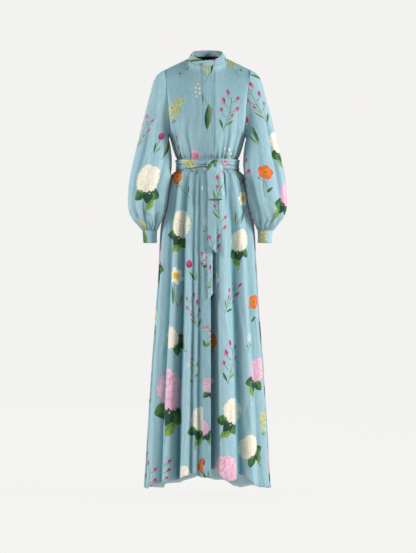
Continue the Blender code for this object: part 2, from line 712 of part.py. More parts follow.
def build_cuff(side, sign, material):
    a = np.arange(CUFF_COLUMNS) * 2 * np.pi / CUFF_COLUMNS
    flip = np.array([sign, 1.0, 1.0])
    grids = []
    for inset in (0.0, WALL):
        rows = []
        for ring in CUFF:
            x = ring.middle_x + (ring.half_width - inset) * np.cos(a)
            y = -CUFF_FORWARD - (ring.half_depth - inset) * np.sin(a)
            rows.append(np.stack([x, y, np.full(len(a), ring.z)], axis=-1))
        grids.append(np.array(rows) * flip)
    solid("cuff_" + side, grids[0], grids[1], material, closed=True)


# The skirt.


def turned(folds, by):
    """The same folds a turn away, so that a panel's folds run on past its seams."""
    return [SkirtFold(fold.bearing + by, fold.reach, fold.hem_rise) for fold in folds]


def skirt_points(bearings, share, hem_bearings, folds, extra):
    """One row of outer points of the skirt, by bearing, share of the way down, and what else
    stands out or in."""
    knots = field(folds, "bearing")
    reach = glide(hem_bearings, knots, field(folds, "reach"))
    rise = glide(hem_bearings, knots, field(folds, "hem_rise"))
    drop = share * (WAIST_Z - HEM_Z)
    half_width, front, back = skirt_plan(drop)
    a = np.radians(bearings)
    depth = np.where(np.cos(a) > 0, front, back)
    base = np.stack([half_width * np.sin(a), -depth * np.cos(a), np.zeros(len(a))], axis=-1)
    plan_normal = np.stack([np.sin(a) / half_width, -np.cos(a) / depth, np.zeros(len(a))], axis=-1)
    plan_normal = unit(plan_normal)
    fold_share = glide(share, FOLD_SHARE_DOWN, FOLD_SHARE)
    row = base + plan_normal * (reach * fold_share + extra)[:, None]
    row[:, 2] = WAIST_Z - drop + rise * share**3
    return row


def skirt_plan(drop):
    drops = field(SKIRT, "drop")
    return tuple(glide(drop, drops, field(SKIRT, name)) for name in ("half_width", "front", "back"))


def edge_bearing(x, half_width):
    return np.degrees(np.arcsin(x / half_width))


def fold_columns(folds, steps):
    """Bearings of a panel's columns: each ridge and valley, and even steps between them."""
    bearings = field(folds, "bearing")
    columns = [bearings[:1]]
    for start, stop in zip(bearings[:-1], bearings[1:]):
        columns.append(np.linspace(start, stop, steps + 1)[1:])
    return np.concatenate(columns)


def skirt_grid(columns, anchors, place_anchors, folds, waves, lapped=False):
    """Grid of outer points of a skirt panel. The anchors are hem bearings whose place in each
    row is worked out, such as a seam or an edge, and the columns between them are spread."""
    rows = []
    for share in SKIRT_ROWS:
        drop = share * (WAIST_Z - HEM_Z)
        half_width, front, _ = skirt_plan(drop)
        bearings = np.interp(columns, anchors, place_anchors(half_width, front))
        extra = GATHER * waves * np.exp(-drop / SKIRT_GATHER_DROP)
        if lapped:
            extra = extra + lap_in(half_width * np.sin(np.radians(bearings)))
        rows.append(skirt_points(bearings, share, columns, folds, extra))
    grid = np.array(rows)
    grid[0, :, 2] -= SEAM_GAP / 2
    return grid


def build_skirt(material):
    def shy(depth):
        return np.degrees(SEAM_GAP / 2 / depth)

    def right_places(half_width, front):
        return [
            -90.0 + shy(front),
            edge_bearing(PLACKET_LEFT_X, half_width),
            edge_bearing(FRONT_EDGE_X, half_width),
        ]

    def left_places(half_width, front):
        return [
            edge_bearing(PLACKET_LEFT_X, half_width),
            edge_bearing(FRONT_EDGE_X, half_width),
            90.0 - shy(front),
        ]

    def back_places(half_width, front):
        return [90.0 + shy(front), 270.0 - shy(front)]

    right_columns = fold_columns(RIGHT_FRONT_FOLDS, FRONT_STEPS)
    right_folds = turned(BACK_FOLDS[:-1], -360.0) + RIGHT_FRONT_FOLDS
    placket_start = len(right_columns) - 1 - FRONT_STEPS
    waves = gather_waves(len(right_columns), 2, FRONT_STEPS + 3)
    right = skirt_grid(right_columns, [-90.0, -4.6, 3.0], right_places, right_folds, waves)

    left_columns = fold_columns(LEFT_FRONT_FOLDS, FRONT_STEPS)
    left_folds = LEFT_FRONT_FOLDS[:-1] + BACK_FOLDS
    waves = gather_waves(len(left_columns), FRONT_STEPS + 3, 2)
    left = skirt_grid(left_columns, [-4.6, 3.0, 90.0], left_places, left_folds, waves, lapped=True)

    back_columns = fold_columns(BACK_FOLDS, BACK_STEPS)
    back_folds = LEFT_FRONT_FOLDS[:-1] + BACK_FOLDS[:-1] + turned(RIGHT_FRONT_FOLDS, 360.0)
    waves = gather_waves(len(back_columns), 2, 2)
    back = skirt_grid(back_columns, [90.0, 270.0], back_places, back_folds, waves)

    normals = {}
    for name, grid in (("right", right), ("left", left), ("back", back)):
        axis = np.zeros_like(grid)
        axis[..., 2] = grid[..., 2]
        normals[name] = outward(grid, axis)
    share_edge(normals["right"][:, 0], normals["back"][:, -1])
    share_edge(normals["left"][:, -1], normals["back"][:, 0])
    for name, grid in (("right", right), ("left", left), ("back", back)):
        label = "skirt_back" if name == "back" else "skirt_front_" + name
        solid(label, grid, grid - WALL * normals[name], material)
    strip = right[:, placket_start:]
    facing = normals["right"][:, placket_start:]
    outer = strip + (SEAM_GAP + PLACKET_WALL) * facing
    solid("skirt_placket", outer, strip + SEAM_GAP * facing, material)
    return right, left, outer


# The belt.


def build_belt_band(material):
    bearings = np.arange(BELT_COLUMNS) * 360.0 / BELT_COLUMNS
    a = np.radians(bearings)
    from_knot = (bearings - KNOT_BEARING + 180.0) % 360.0 - 180.0
    reach = np.where(from_knot < 0, KNOT_SQUEEZE_RIGHT, KNOT_SQUEEZE_LEFT)
    squeezed = 1 - KNOT_SQUEEZE * np.exp(-((from_knot / reach) ** 2))
    rows = []
    for belt_row in BELT_ROWS:
        depth = np.where(np.cos(a) > 0, BELT_FRONT, BELT_BACK)
        x = (BELT_HALF_WIDTH + belt_row.reach) * np.sin(a)
        y = -(depth + belt_row.reach) * np.cos(a)
        z = BELT_MIDDLE_Z + belt_row.rise * squeezed
        rows.append(np.stack([x, y, z], axis=-1))
    grid = np.array(rows)
    normals = outward(grid, np.array([0.0, 0.0, BELT_MIDDLE_Z]), closed=True)
    solid("belt_band", grid, grid - WALL * normals, material, closed=True)
    return grid


def build_knot(material):
    """The tight wrap inside the bow: a rounded pad with a crease along its middle."""
    made = bmesh.new()
    bmesh.ops.create_uvsphere(made, u_segments=14, v_segments=8, radius=1.0)
    for vertex in made.verts:
        x, y, z = vertex.co
        crease = 1 - 0.16 * np.exp(-((z / 0.25) ** 2))
        squared = 1.0 / max(abs(x), abs(z), 0.72) ** 0.45
        across = KNOT_MIDDLE[0] + KNOT_HALF[0] * x * squared
        round_belt = (1 - (across / BELT_HALF_WIDTH) ** 2) ** 0.5
        vertex.co = (
            across,
            KNOT_MIDDLE[1] * round_belt + KNOT_HALF[1] * y * crease,
            KNOT_MIDDLE[2] + KNOT_HALF[2] * z * squared,
        )
    mesh = bpy.data.meshes.new("belt_knot")
    made.to_mesh(mesh)
    made.free()
    mesh.materials.append(material)
    mesh.shade_smooth()
    knot = bpy.data.objects.new("belt_knot", mesh)
    bpy.context.scene.collection.objects.link(knot)


def cloth_under(*grids):
    """What the belt's ends lie on, ready to be measured from the front."""
    points = []
    faces = []
    for grid in grids:
        rows, columns = grid.shape[:2]
        start = len(points)
        points += [Vector(point) for point in grid.reshape(-1, 3)]
        for row in range(rows - 1):
            for column in range(columns - 1):
                corner = start + row * columns + column
                faces.append([corner, corner + 1, corner + columns + 1, corner + columns])
    return BVHTree.FromPolygons(points, faces)


def hang(x, z, off, under):
    """Points at a place in front view, in front of the furthest cloth that is close by."""
    x, z, off = np.broadcast_arrays(x, z, off)
    points = np.zeros(x.shape + (3,))
    for place in np.ndindex(x.shape):
        nearest = 0.0
        for aside in np.linspace(-HANG_REACH, HANG_REACH, 5):
            for above in (-HANG_REACH, 0.0, HANG_REACH):
                height = min(z[place] + above, BELT_MIDDLE_Z)
                start = Vector((x[place] + aside, -1.0, height))
                hit = under.ray_cast(start, Vector((0.0, 1.0, 0.0)))[0]
                if hit is not None:
                    nearest = min(nearest, hit.y)
        points[place] = (x[place], nearest - HANG_CLEARANCE - off[place], z[place])
    return points


def build_tail(name, table, lies_on, material):
    across = np.linspace(0, 1, TAIL_COLUMNS + 1)
    left_x, left_z = field(table, "left_x")[:, None], field(table, "left_z")[:, None]
    right_x, right_z = field(table, "right_x")[:, None], field(table, "right_z")[:, None]
    x = left_x + across * (right_x - left_x)
    z = left_z + across * (right_z - left_z)
    grid = hang(x, z, 0.0, cloth_under(*lies_on))
    normals = outward(grid, np.array([0.0, 0.0, -0.6]))
    solid(name, grid, grid - WALL * normals, material)
    return grid


def build_loop(lies_on, material):
    across = np.linspace(-1, 1, LOOP_COLUMNS + 1)
    x = field(LOOP, "middle_x")[:, None] + across * field(LOOP, "half_width")[:, None]
    off = field(LOOP, "off")[:, None]
    grid = hang(x, field(LOOP, "z")[:, None], off, cloth_under(*lies_on))
    normals = outward(grid, np.array([0.0, 0.0, -0.45]))
    if np.mean(normals[LOOP_FRONT_ROWS, :, 1]) > 0:
        normals = -normals
    solid("belt_loop", grid, grid - WALL * normals, material)


def build_belt(skirt_front, material):
    band = build_belt_band(material)
    build_knot(material)
    band = np.concatenate([band, band[:, :1]], axis=1)
    under = [band, *skirt_front]
    under.append(build_tail("belt_tail_lower", LOWER_TAIL, under, material))
    under.append(build_tail("belt_tail_upper", UPPER_TAIL, under, material))
    build_loop(under, material)


def main():
    for old in list(bpy.data.objects):
        bpy.data.objects.remove(old)
    cloth = cloth_material("printed_cloth", CLOTH_COLOUR)
    belt_cloth = cloth_material("belt_cloth", BELT_COLOUR)
    build_bodice(cloth)
    build_collar(cloth)
    for side, sign in (("left", 1.0), ("right", -1.0)):
        build_sleeve(side, sign, cloth)
        build_cuff(side, sign, cloth)
    skirt_front = build_skirt(cloth)
    build_belt(skirt_front, belt_cloth)


main()
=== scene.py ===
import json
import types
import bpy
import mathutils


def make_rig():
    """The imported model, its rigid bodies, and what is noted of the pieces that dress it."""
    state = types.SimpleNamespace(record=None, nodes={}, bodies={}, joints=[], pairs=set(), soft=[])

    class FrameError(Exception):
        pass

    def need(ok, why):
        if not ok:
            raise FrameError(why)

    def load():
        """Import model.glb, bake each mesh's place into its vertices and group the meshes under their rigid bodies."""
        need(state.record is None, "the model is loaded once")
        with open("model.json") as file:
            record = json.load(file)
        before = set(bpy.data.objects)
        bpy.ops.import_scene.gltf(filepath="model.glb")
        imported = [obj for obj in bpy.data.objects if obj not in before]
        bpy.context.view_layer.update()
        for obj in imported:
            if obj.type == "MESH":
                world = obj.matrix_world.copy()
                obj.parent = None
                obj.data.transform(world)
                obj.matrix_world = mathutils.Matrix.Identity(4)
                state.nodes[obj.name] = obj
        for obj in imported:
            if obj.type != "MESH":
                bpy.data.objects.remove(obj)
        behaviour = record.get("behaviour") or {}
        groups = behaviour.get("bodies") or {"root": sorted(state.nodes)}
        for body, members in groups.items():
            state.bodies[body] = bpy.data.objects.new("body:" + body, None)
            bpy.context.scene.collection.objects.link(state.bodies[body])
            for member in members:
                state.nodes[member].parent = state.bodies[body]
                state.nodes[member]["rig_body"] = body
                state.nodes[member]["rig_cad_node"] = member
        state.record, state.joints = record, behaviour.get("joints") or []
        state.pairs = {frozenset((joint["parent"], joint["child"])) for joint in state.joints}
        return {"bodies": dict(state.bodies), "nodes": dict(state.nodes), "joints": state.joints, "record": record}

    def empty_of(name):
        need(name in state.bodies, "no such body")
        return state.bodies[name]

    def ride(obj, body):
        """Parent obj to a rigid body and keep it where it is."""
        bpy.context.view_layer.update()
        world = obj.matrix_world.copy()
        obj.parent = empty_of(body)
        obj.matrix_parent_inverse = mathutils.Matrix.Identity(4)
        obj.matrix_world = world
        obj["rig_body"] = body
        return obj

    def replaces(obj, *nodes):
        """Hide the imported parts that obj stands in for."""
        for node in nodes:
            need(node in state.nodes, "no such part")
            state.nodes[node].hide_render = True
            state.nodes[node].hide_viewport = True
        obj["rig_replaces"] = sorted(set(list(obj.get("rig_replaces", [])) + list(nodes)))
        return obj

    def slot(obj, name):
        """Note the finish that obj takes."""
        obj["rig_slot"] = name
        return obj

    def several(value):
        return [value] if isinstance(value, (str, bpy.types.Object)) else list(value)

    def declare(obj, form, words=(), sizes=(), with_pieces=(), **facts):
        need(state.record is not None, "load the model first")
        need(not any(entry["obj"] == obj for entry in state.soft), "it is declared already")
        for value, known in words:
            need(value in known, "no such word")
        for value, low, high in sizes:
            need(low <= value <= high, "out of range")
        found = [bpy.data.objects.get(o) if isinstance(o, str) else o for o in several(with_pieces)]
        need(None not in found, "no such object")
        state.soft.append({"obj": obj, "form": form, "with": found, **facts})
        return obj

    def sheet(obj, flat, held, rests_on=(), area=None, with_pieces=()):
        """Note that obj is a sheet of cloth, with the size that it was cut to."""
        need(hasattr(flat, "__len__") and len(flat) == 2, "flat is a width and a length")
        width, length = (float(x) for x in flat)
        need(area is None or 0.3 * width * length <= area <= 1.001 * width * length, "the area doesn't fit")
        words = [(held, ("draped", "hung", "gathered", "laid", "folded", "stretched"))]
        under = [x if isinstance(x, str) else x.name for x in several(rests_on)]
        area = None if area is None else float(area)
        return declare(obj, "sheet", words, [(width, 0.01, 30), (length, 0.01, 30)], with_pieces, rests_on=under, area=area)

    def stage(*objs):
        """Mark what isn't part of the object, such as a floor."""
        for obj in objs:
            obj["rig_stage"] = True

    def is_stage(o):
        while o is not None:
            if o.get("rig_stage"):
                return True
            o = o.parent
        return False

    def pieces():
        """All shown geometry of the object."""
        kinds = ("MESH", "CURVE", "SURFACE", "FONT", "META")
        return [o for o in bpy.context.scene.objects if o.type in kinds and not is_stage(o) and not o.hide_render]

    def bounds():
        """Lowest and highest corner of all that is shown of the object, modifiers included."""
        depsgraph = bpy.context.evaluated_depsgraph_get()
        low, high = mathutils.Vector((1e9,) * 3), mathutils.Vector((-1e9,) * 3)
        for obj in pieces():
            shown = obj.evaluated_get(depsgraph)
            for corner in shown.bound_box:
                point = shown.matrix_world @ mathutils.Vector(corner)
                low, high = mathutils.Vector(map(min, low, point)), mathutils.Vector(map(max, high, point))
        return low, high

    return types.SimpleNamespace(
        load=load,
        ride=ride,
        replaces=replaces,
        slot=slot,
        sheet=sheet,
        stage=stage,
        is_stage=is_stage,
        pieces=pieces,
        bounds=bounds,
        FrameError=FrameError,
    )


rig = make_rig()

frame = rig.load()

import json
from collections import namedtuple

import bpy
import numpy as np
from mathutils import Vector
from mathutils.bvhtree import BVHTree

solid_box = [list(corner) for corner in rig.bounds()]


# The upper body: two fronts and a back of light printed twill, seamed at the sides and over the
# shoulders. A covered strip runs down the right front. The cloth is gathered a little into the
# waist seam, so soft upright folds rise from the belt and die away below the bust.
WALL = 0.0010
WAIST_Z = -0.3870
NECK_HALF_WIDTH = 0.0720
NECK_FRONT_Y = -0.0610
NECK_BACK_Y = 0.0630
NECK_SIDE_Z = 0.0130
NECK_FRONT_DIP = 0.0350
NECK_BACK_RISE = 0.0100
NECK_EASE = 0.034
SHOULDER_X = 0.1610
SHOULDER_Y = 0.0020
SHOULDER_EASE = 1.7
ARMHOLE_X = 0.1515
ARMHOLE_LEAN = 0.0095
ARMHOLE_HOLLOW = 0.0050
ARMHOLE_Z = -0.1550
ARMHOLE_HALF_HEIGHT = 0.1255
ARMHOLE_HALF_DEPTH = 0.0550
PLACKET_LEFT_X = -0.0158
FRONT_EDGE_X = 0.0118
PLACKET_LIFT = 0.0003
PLACKET_WALL = 0.0010
LAP_DEPTH = 0.0022

SideLevel = namedtuple("SideLevel", "z half_width front_y back_y")
SIDE_SEAM = [
    SideLevel(WAIST_Z, 0.1135, -0.0880, 0.0840),
    SideLevel(-0.3660, 0.1140, -0.0885, 0.0845),
    SideLevel(-0.3540, 0.1200, -0.0970, 0.0920),
    SideLevel(-0.3340, 0.1270, -0.1045, 0.0965),
    SideLevel(-0.3080, 0.1345, -0.1110, 0.1000),
    SideLevel(-0.2805, 0.1420, -0.1170, 0.1040),
]
ChestLevel = namedtuple("ChestLevel", "front_z front_y back_z back_y")
CHEST = [
    ChestLevel(-0.2520, -0.1195, -0.2460, 0.1060),
    ChestLevel(-0.2210, -0.1195, -0.2100, 0.1070),
    ChestLevel(-0.1900, -0.1160, -0.1740, 0.1060),
    ChestLevel(-0.1590, -0.1100, -0.1380, 0.1030),
    ChestLevel(-0.1280, -0.1010, -0.1020, 0.0980),
    ChestLevel(-0.0970, -0.0900, -0.0650, 0.0900),
    ChestLevel(-0.0660, -0.0760, -0.0270, 0.0780),
    ChestLevel(
        NECK_SIDE_Z - NECK_FRONT_DIP, NECK_FRONT_Y, NECK_SIDE_Z + NECK_BACK_RISE, NECK_BACK_Y
    ),
]
# Creases rise from the waist: where, how deep (+ stands out), how wide in degrees, how tall.
Crease = namedtuple("Crease", "bearing reach width height")
BODICE_CREASES = [
    Crease(-78.0, -0.0050, 3.2, 0.080),
    Crease(-70.0, 0.0025, 5.0, 0.120),
    Crease(-61.5, -0.0074, 2.6, 0.160),
    Crease(-54.0, 0.0026, 4.0, 0.110),
    Crease(-47.5, -0.0052, 2.4, 0.090),
    Crease(-40.0, -0.0048, 2.2, 0.080),
    Crease(-32.5, -0.0082, 2.4, 0.180),
    Crease(-24.0, 0.0022, 5.0, 0.100),
    Crease(-14.5, -0.0036, 2.2, 0.060),
    Crease(16.0, -0.0044, 2.4, 0.070),
    Crease(21.5, 0.0024, 3.0, 0.110),
    Crease(27.5, -0.0070, 2.2, 0.140),
    Crease(35.5, -0.0080, 2.4, 0.190),
    Crease(42.0, 0.0030, 4.0, 0.130),
    Crease(47.5, -0.0050, 2.2, 0.090),
    Crease(54.5, -0.0074, 2.6, 0.180),
    Crease(62.0, 0.0024, 4.0, 0.100),
    Crease(70.0, -0.0060, 2.8, 0.110),
    Crease(80.0, -0.0040, 2.8, 0.070),
    Crease(101.0, -0.0049, 3.0, 0.070),
    Crease(112.0, 0.0026, 5.0, 0.110),
    Crease(121.0, -0.0061, 2.8, 0.090),
    Crease(131.0, 0.0024, 5.0, 0.120),
    Crease(140.0, -0.0057, 2.6, 0.080),
    Crease(150.0, 0.0028, 5.0, 0.120),
    Crease(159.5, -0.0065, 2.8, 0.110),
    Crease(170.0, 0.0028, 5.0, 0.100),
    Crease(179.0, -0.0053, 2.6, 0.090),
    Crease(188.5, 0.0026, 4.6, 0.120),
    Crease(198.0, -0.0065, 2.8, 0.100),
    Crease(208.0, 0.0028, 5.0, 0.110),
    Crease(217.0, -0.0057, 2.6, 0.085),
    Crease(227.0, 0.0026, 5.0, 0.120),
    Crease(237.0, -0.0061, 2.8, 0.095),
    Crease(248.0, 0.0022, 5.0, 0.100),
    Crease(259.0, -0.0049, 3.0, 0.060),
]


def ease(share):
    """0 below 0, 1 above 1, and smooth between."""
    share = np.clip(share, 0.0, 1.0)
    return share * share * (3 - 2 * share)


def bell(gap, width):
    """1 where there is no gap, and falling away smoothly on both sides."""
    return np.exp(-((gap / width) ** 2))


def round_gap(bearing, other):
    """How far a bearing lies from another the short way round, in degrees."""
    return (bearing - other + 180.0) % 360.0 - 180.0


def unit(vectors):
    return vectors / np.maximum(np.linalg.norm(vectors, axis=-1, keepdims=True), 1e-12)


def level_out(points, forward=1.0):
    """Level directions away from the upright line through the middle."""
    return unit(points * np.array([1.0, forward, 0.0]))


def run_of(points, axis=0):
    """How far along its row or column each point lies from the first one."""
    far = np.cumsum(np.linalg.norm(np.diff(points, axis=axis), axis=-1), axis=axis)
    return np.concatenate([np.zeros_like(far.take([0], axis)), far], axis=axis)


def joined_up(grid):
    """A grid that goes all round, with its first column again at its end."""
    return np.concatenate([grid, grid[:, :1]], axis=1)


def curve(at, knots, values, slopes):
    """Smooth curve through rows of values with a slope at each. A value may be a number, a point
    or a whole grid."""
    span = np.diff(knots)
    single = (1,) * (values.ndim - 1)
    wide = span.reshape(-1, *single)
    at = np.clip(np.asarray(at, float), knots[0], knots[-1])
    i = np.clip(np.searchsorted(knots, at, side="right") - 1, 0, len(span) - 1)
    s = (at - knots[i]) / span[i]
    s = s.reshape(s.shape + single)
    held = (1 + 2 * s) * (1 - s) ** 2 * values[i] + s * s * (3 - 2 * s) * values[i + 1]
    return held + wide[i] * (s * (1 - s) ** 2 * slopes[i] + s * s * (s - 1) * slopes[i + 1])


def through(at, knots, values):
    """Smooth curve through rows of values that may swing a little past them."""
    knots = np.asarray(knots, float)
    values = np.asarray(values, float)
    wide = np.diff(knots).reshape(-1, *([1] * (values.ndim - 1)))
    slope = np.diff(values, axis=0) / wide
    slopes = np.empty_like(values)
    slopes[0] = slope[0]
    slopes[-1] = slope[-1]
    slopes[1:-1] = (slope[:-1] * wide[1:] + slope[1:] * wide[:-1]) / (wide[1:] + wide[:-1])
    return curve(at, knots, values, slopes)


def between(values, parts):
    """The same row of numbers with each step cut into equal parts."""
    places = np.arange(len(values))
    return np.interp(np.linspace(0, len(values) - 1, (len(values) - 1) * parts + 1), places, values)


def row_places(grid):
    """How far down a grid each of its rows lies, as a mean over its columns."""
    steps = np.linalg.norm(np.diff(grid, axis=0), axis=-1).mean(axis=1)
    return np.concatenate([[0.0], np.cumsum(steps)])


def finer_rows(grid, parts):
    """A grid with smooth rows put in between its own."""
    places = row_places(grid)
    return through(between(places, parts), places, grid)


def facing(points, away_from, closed=False):
    """Normals of a grid of points (rows, columns, 3), pointing away from a reference."""
    down = np.gradient(points, axis=0)
    if closed:
        across = (np.roll(points, -1, axis=1) - np.roll(points, 1, axis=1)) / 2
    else:
        across = np.gradient(points, axis=1)
    normals = unit(np.cross(down, across))
    outwards = np.sum(normals * (points - away_from), axis=-1)
    return normals * (-1.0 if np.median(outwards) < 0 else 1.0)


def cloth_plan(grid, closed=False, first_column=0, start=0.0):
    """Where each point of a grid lies on the flat cloth, in metres, + to the side and + up. The
    first column lies at the start, a place of the piece's own across the cloth."""
    grid = joined_up(grid) if closed else grid
    across = run_of(grid, 1)
    across = across - across[:, [first_column]]
    way = np.sign(grid[-1, :, 2].mean() - grid[0, :, 2].mean())
    return np.stack([across + start, way * run_of(grid)], axis=-1)


# Painted shade in the bottoms of folds, and a painted highlight on their tops, go by how far they lie under the cloth
# around them, evened out over these spans in metres, with a share for each.
FoldSpan = namedtuple("FoldSpan", "across along share")
FOLD_SPANS = [FoldSpan(0.011, 0.009, 0.60), FoldSpan(0.038, 0.005, 0.80)]
MOST_SMOOTHING = 900


def smoothed(grid, axis, span, closed):
    """The grid with everything narrower than a span evened out along one axis."""
    width = np.linalg.norm(np.diff(grid, axis=axis), axis=-1).mean()
    grid = np.moveaxis(grid, axis, 0)
    for _ in range(min(int(2 * (span / width) ** 2) + 1, MOST_SMOOTHING)):
        before = np.roll(grid, 1, axis=0)
        after = np.roll(grid, -1, axis=0)
        if not closed:
            before[0] = grid[0]
            after[-1] = grid[-1]
        grid = (before + 2 * grid + after) / 4
    return np.moveaxis(grid, 0, axis)


def hollows(grid, normals, closed):
    """How far each point lies under the cloth around it, in metres: near by and further off."""
    sunk = np.zeros(grid.shape[:2])
    for across, along, share in FOLD_SPANS:
        level = smoothed(smoothed(grid, 1, across, closed), 0, along, False)
        sunk += share * np.sum((level - grid) * normals, axis=-1)
    return sunk


def sewn_panel(name, outer, normals, plan, materials, closed=False, wall=WALL, printed_in=False):
    """A thin closed wall under a grid of points. Slot 0 is the cloth's face, the last its back."""
    rows, columns = outer.shape[:2]
    inner = outer - wall * normals
    points = np.concatenate([outer.reshape(-1, 3), inner.reshape(-1, 3)])
    layer = rows * columns
    spans = columns if closed else columns - 1
    row, column = np.meshgrid(np.arange(rows - 1), np.arange(spans), indexing="ij")
    row, column = row.ravel(), column.ravel()

    def at(r, c):
        return r * columns + c % columns

    corners = [(row, column), (row, column + 1), (row + 1, column + 1), (row + 1, column)]
    face = np.stack([at(*corner) for corner in corners], axis=1)
    face_plan = np.stack([plan[corner] for corner in corners], axis=1)
    faces = [face, (face + layer)[:, ::-1]]
    plans = [face_plan, face_plan[:, ::-1]]

    def rim(r0, c0, r1, c1):
        near, far = at(r0, c0), at(r1, c1)
        faces.append(np.stack([near, far, far + layer, near + layer], axis=1))
        plans.append(np.stack([plan[r0, c0], plan[r1, c1], plan[r1, c1], plan[r0, c0]], axis=1))

    every = np.arange(spans)
    rim(np.zeros_like(every), every + 1, np.zeros_like(every), every)
    rim(np.full_like(every, rows - 1), every, np.full_like(every, rows - 1), every + 1)
    if not closed:
        every = np.arange(rows - 1)
        rim(every, np.zeros_like(every), every + 1, np.zeros_like(every))
        last = np.full_like(every, columns - 1)
        rim(every + 1, last, every, last)
    back_start, back_stop = len(face), 2 * len(face)
    faces = np.concatenate(faces)
    plans = np.concatenate(plans)
    a, b, c = points[face[:, 0]], points[face[:, 1]], points[face[:, 3]]
    thick = (outer - inner).reshape(-1, 3)[face[:, 0]]
    if np.sum(np.cross(b - a, c - a) * thick) < 0:
        faces = faces[:, ::-1]
        plans = plans[:, ::-1]
    mesh = bpy.data.meshes.new(name)
    mesh.vertices.add(len(points))
    mesh.vertices.foreach_set("co", points.ravel())
    mesh.loops.add(faces.size)
    mesh.loops.foreach_set("vertex_index", faces.ravel())
    mesh.polygons.add(len(faces))
    mesh.polygons.foreach_set("loop_start", np.arange(len(faces)) * 4)
    for material in materials:
        mesh.materials.append(material)
    slots = np.zeros(len(faces), int)
    if not printed_in:
        slots[back_start:back_stop] = len(materials) - 1
    mesh.polygons.foreach_set("material_index", slots)
    mesh.update(calc_edges=True)
    mesh.uv_layers.new(name="cloth").data.foreach_set("uv", plans.reshape(-1, 2).ravel())
    # How far each point is sunk, kept for the painted shade and highlight of the folds.
    sunk = np.concatenate([hollows(outer, normals, closed).ravel(), np.zeros(layer)])
    mesh.attributes.new("hollow", "FLOAT", "POINT").data.foreach_set("value", sunk)
    mesh.validate()
    mesh.shade_smooth()
    piece = bpy.data.objects.new(name, mesh)
    bpy.context.scene.collection.objects.link(piece)
    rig.ride(piece, "root")
    return piece


def cut(grid, closed=False):
    """What a panel measures when it is laid flat: its widest, its longest and its area."""
    grid = joined_up(grid) if closed else grid
    width = np.linalg.norm(np.diff(grid, axis=1), axis=-1).sum(axis=1).max()
    length = np.linalg.norm(np.diff(grid, axis=0), axis=-1).sum(axis=0).max()
    one, two = grid[1:, 1:] - grid[:-1, :-1], grid[1:, :-1] - grid[:-1, 1:]
    area = np.linalg.norm(np.cross(one, two), axis=-1).sum() / 2
    return {"flat": (width, length), "area": area}


def give(tree, node, inputs):
    """Sets inputs of a node, by name or number, to a value each, or links them to a socket."""
    for place, value in inputs.items():
        if isinstance(value, bpy.types.NodeSocket):
            tree.links.new(value, node.inputs[place])
        else:
            node.inputs[place].default_value = value


def add_node(tree, kind, inputs=None, **settings):
    made = tree.nodes.new(kind)
    for setting, value in settings.items():
        setattr(made, setting, value)
    give(tree, made, inputs or {})
    return made


def add_sockets(tree, way, sockets):
    """Gives a node tree its own inputs or outputs, each by its name and kind."""
    for name, kind in sockets.items():
        tree.interface.new_socket(name, in_out=way, socket_type="NodeSocket" + kind)


def new_material(name):
    """A material, with its node tree and its shader."""
    material = bpy.data.materials.new(name)
    material.use_nodes = True
    return material, material.node_tree, material.node_tree.nodes["Principled BSDF"]


# Stitches: short raised threads in the colour of the ground, a little in from the edges.
STITCH_PITCH = 0.0032
STITCH_LENGTH = 0.0022
STITCH_THICKNESS = 0.0004
STITCH_SIDES = 5
STITCH_LIFT = 0.0001
STITCH_INSET = 0.0020
EDGE_ROWS = 30
THREAD_COLOUR = (0.330, 0.500, 0.550, 1.0)
THREAD_TWIST = 2600.0


def stitch_nodes():
    """Node tree that lays short threads along lines, with a gap between each and the next."""
    tree = bpy.data.node_groups.new("stitch row", "GeometryNodeTree")
    sizes = {"Pitch": "Float", "Length": "Float", "Thickness": "Float"}
    add_sockets(tree, "INPUT", {"Lines": "Geometry", **sizes, "Thread": "Material"})
    add_sockets(tree, "OUTPUT", {"Stitches": "Geometry"})
    given = add_node(tree, "NodeGroupInput").outputs
    line = add_node(tree, "GeometryNodeMeshToCurve", {"Mesh": given["Lines"]})
    inputs = {"Curve": line.outputs["Curve"], "Length": given["Pitch"]}
    places = add_node(tree, "GeometryNodeCurveToPoints", inputs, mode="LENGTH")
    radius = add_node(tree, "ShaderNodeMath", {0: given["Thickness"], 1: 0.5}, operation="MULTIPLY")
    inputs = {"Vertices": STITCH_SIDES, "Radius": radius.outputs[0], "Depth": given["Length"]}
    stitch = add_node(tree, "GeometryNodeMeshCylinder", inputs, fill_type="NGON")
    inputs = {"Vector": places.outputs["Tangent"]}
    along = add_node(tree, "FunctionNodeAlignRotationToVector", inputs, axis="Z")
    inputs = {
        "Points": places.outputs["Points"],
        "Instance": stitch.outputs["Mesh"],
        "Rotation": along.outputs["Rotation"],
    }
    laid = add_node(tree, "GeometryNodeInstanceOnPoints", inputs)
    real = add_node(tree, "GeometryNodeRealizeInstances", {"Geometry": laid.outputs["Instances"]})
    inputs = {"Geometry": real.outputs["Geometry"], "Material": given["Thread"]}
    sewn = add_node(tree, "GeometryNodeSetMaterial", inputs)
    add_node(tree, "NodeGroupOutput", {"Stitches": sewn.outputs["Geometry"]})
    return tree


def thread_material():
    """Smooth twisted thread in the colour of the ground."""
    material, tree, shader = new_material("sewing thread")
    place = add_node(tree, "ShaderNodeTexCoord").outputs["Object"]
    twist = add_node(tree, "ShaderNodeTexNoise", {"Vector": place, "Scale": THREAD_TWIST})
    bump = add_node(tree, "ShaderNodeBump", {"Height": twist.outputs["Fac"], "Distance": 0.0001})
    looks = {"Base Color": THREAD_COLOUR, "Roughness": 0.5, "Sheen Weight": 0.2}
    give(tree, shader, {**looks, "Normal": bump.outputs["Normal"]})
    return material


stitch_tree = stitch_nodes()
thread = thread_material()


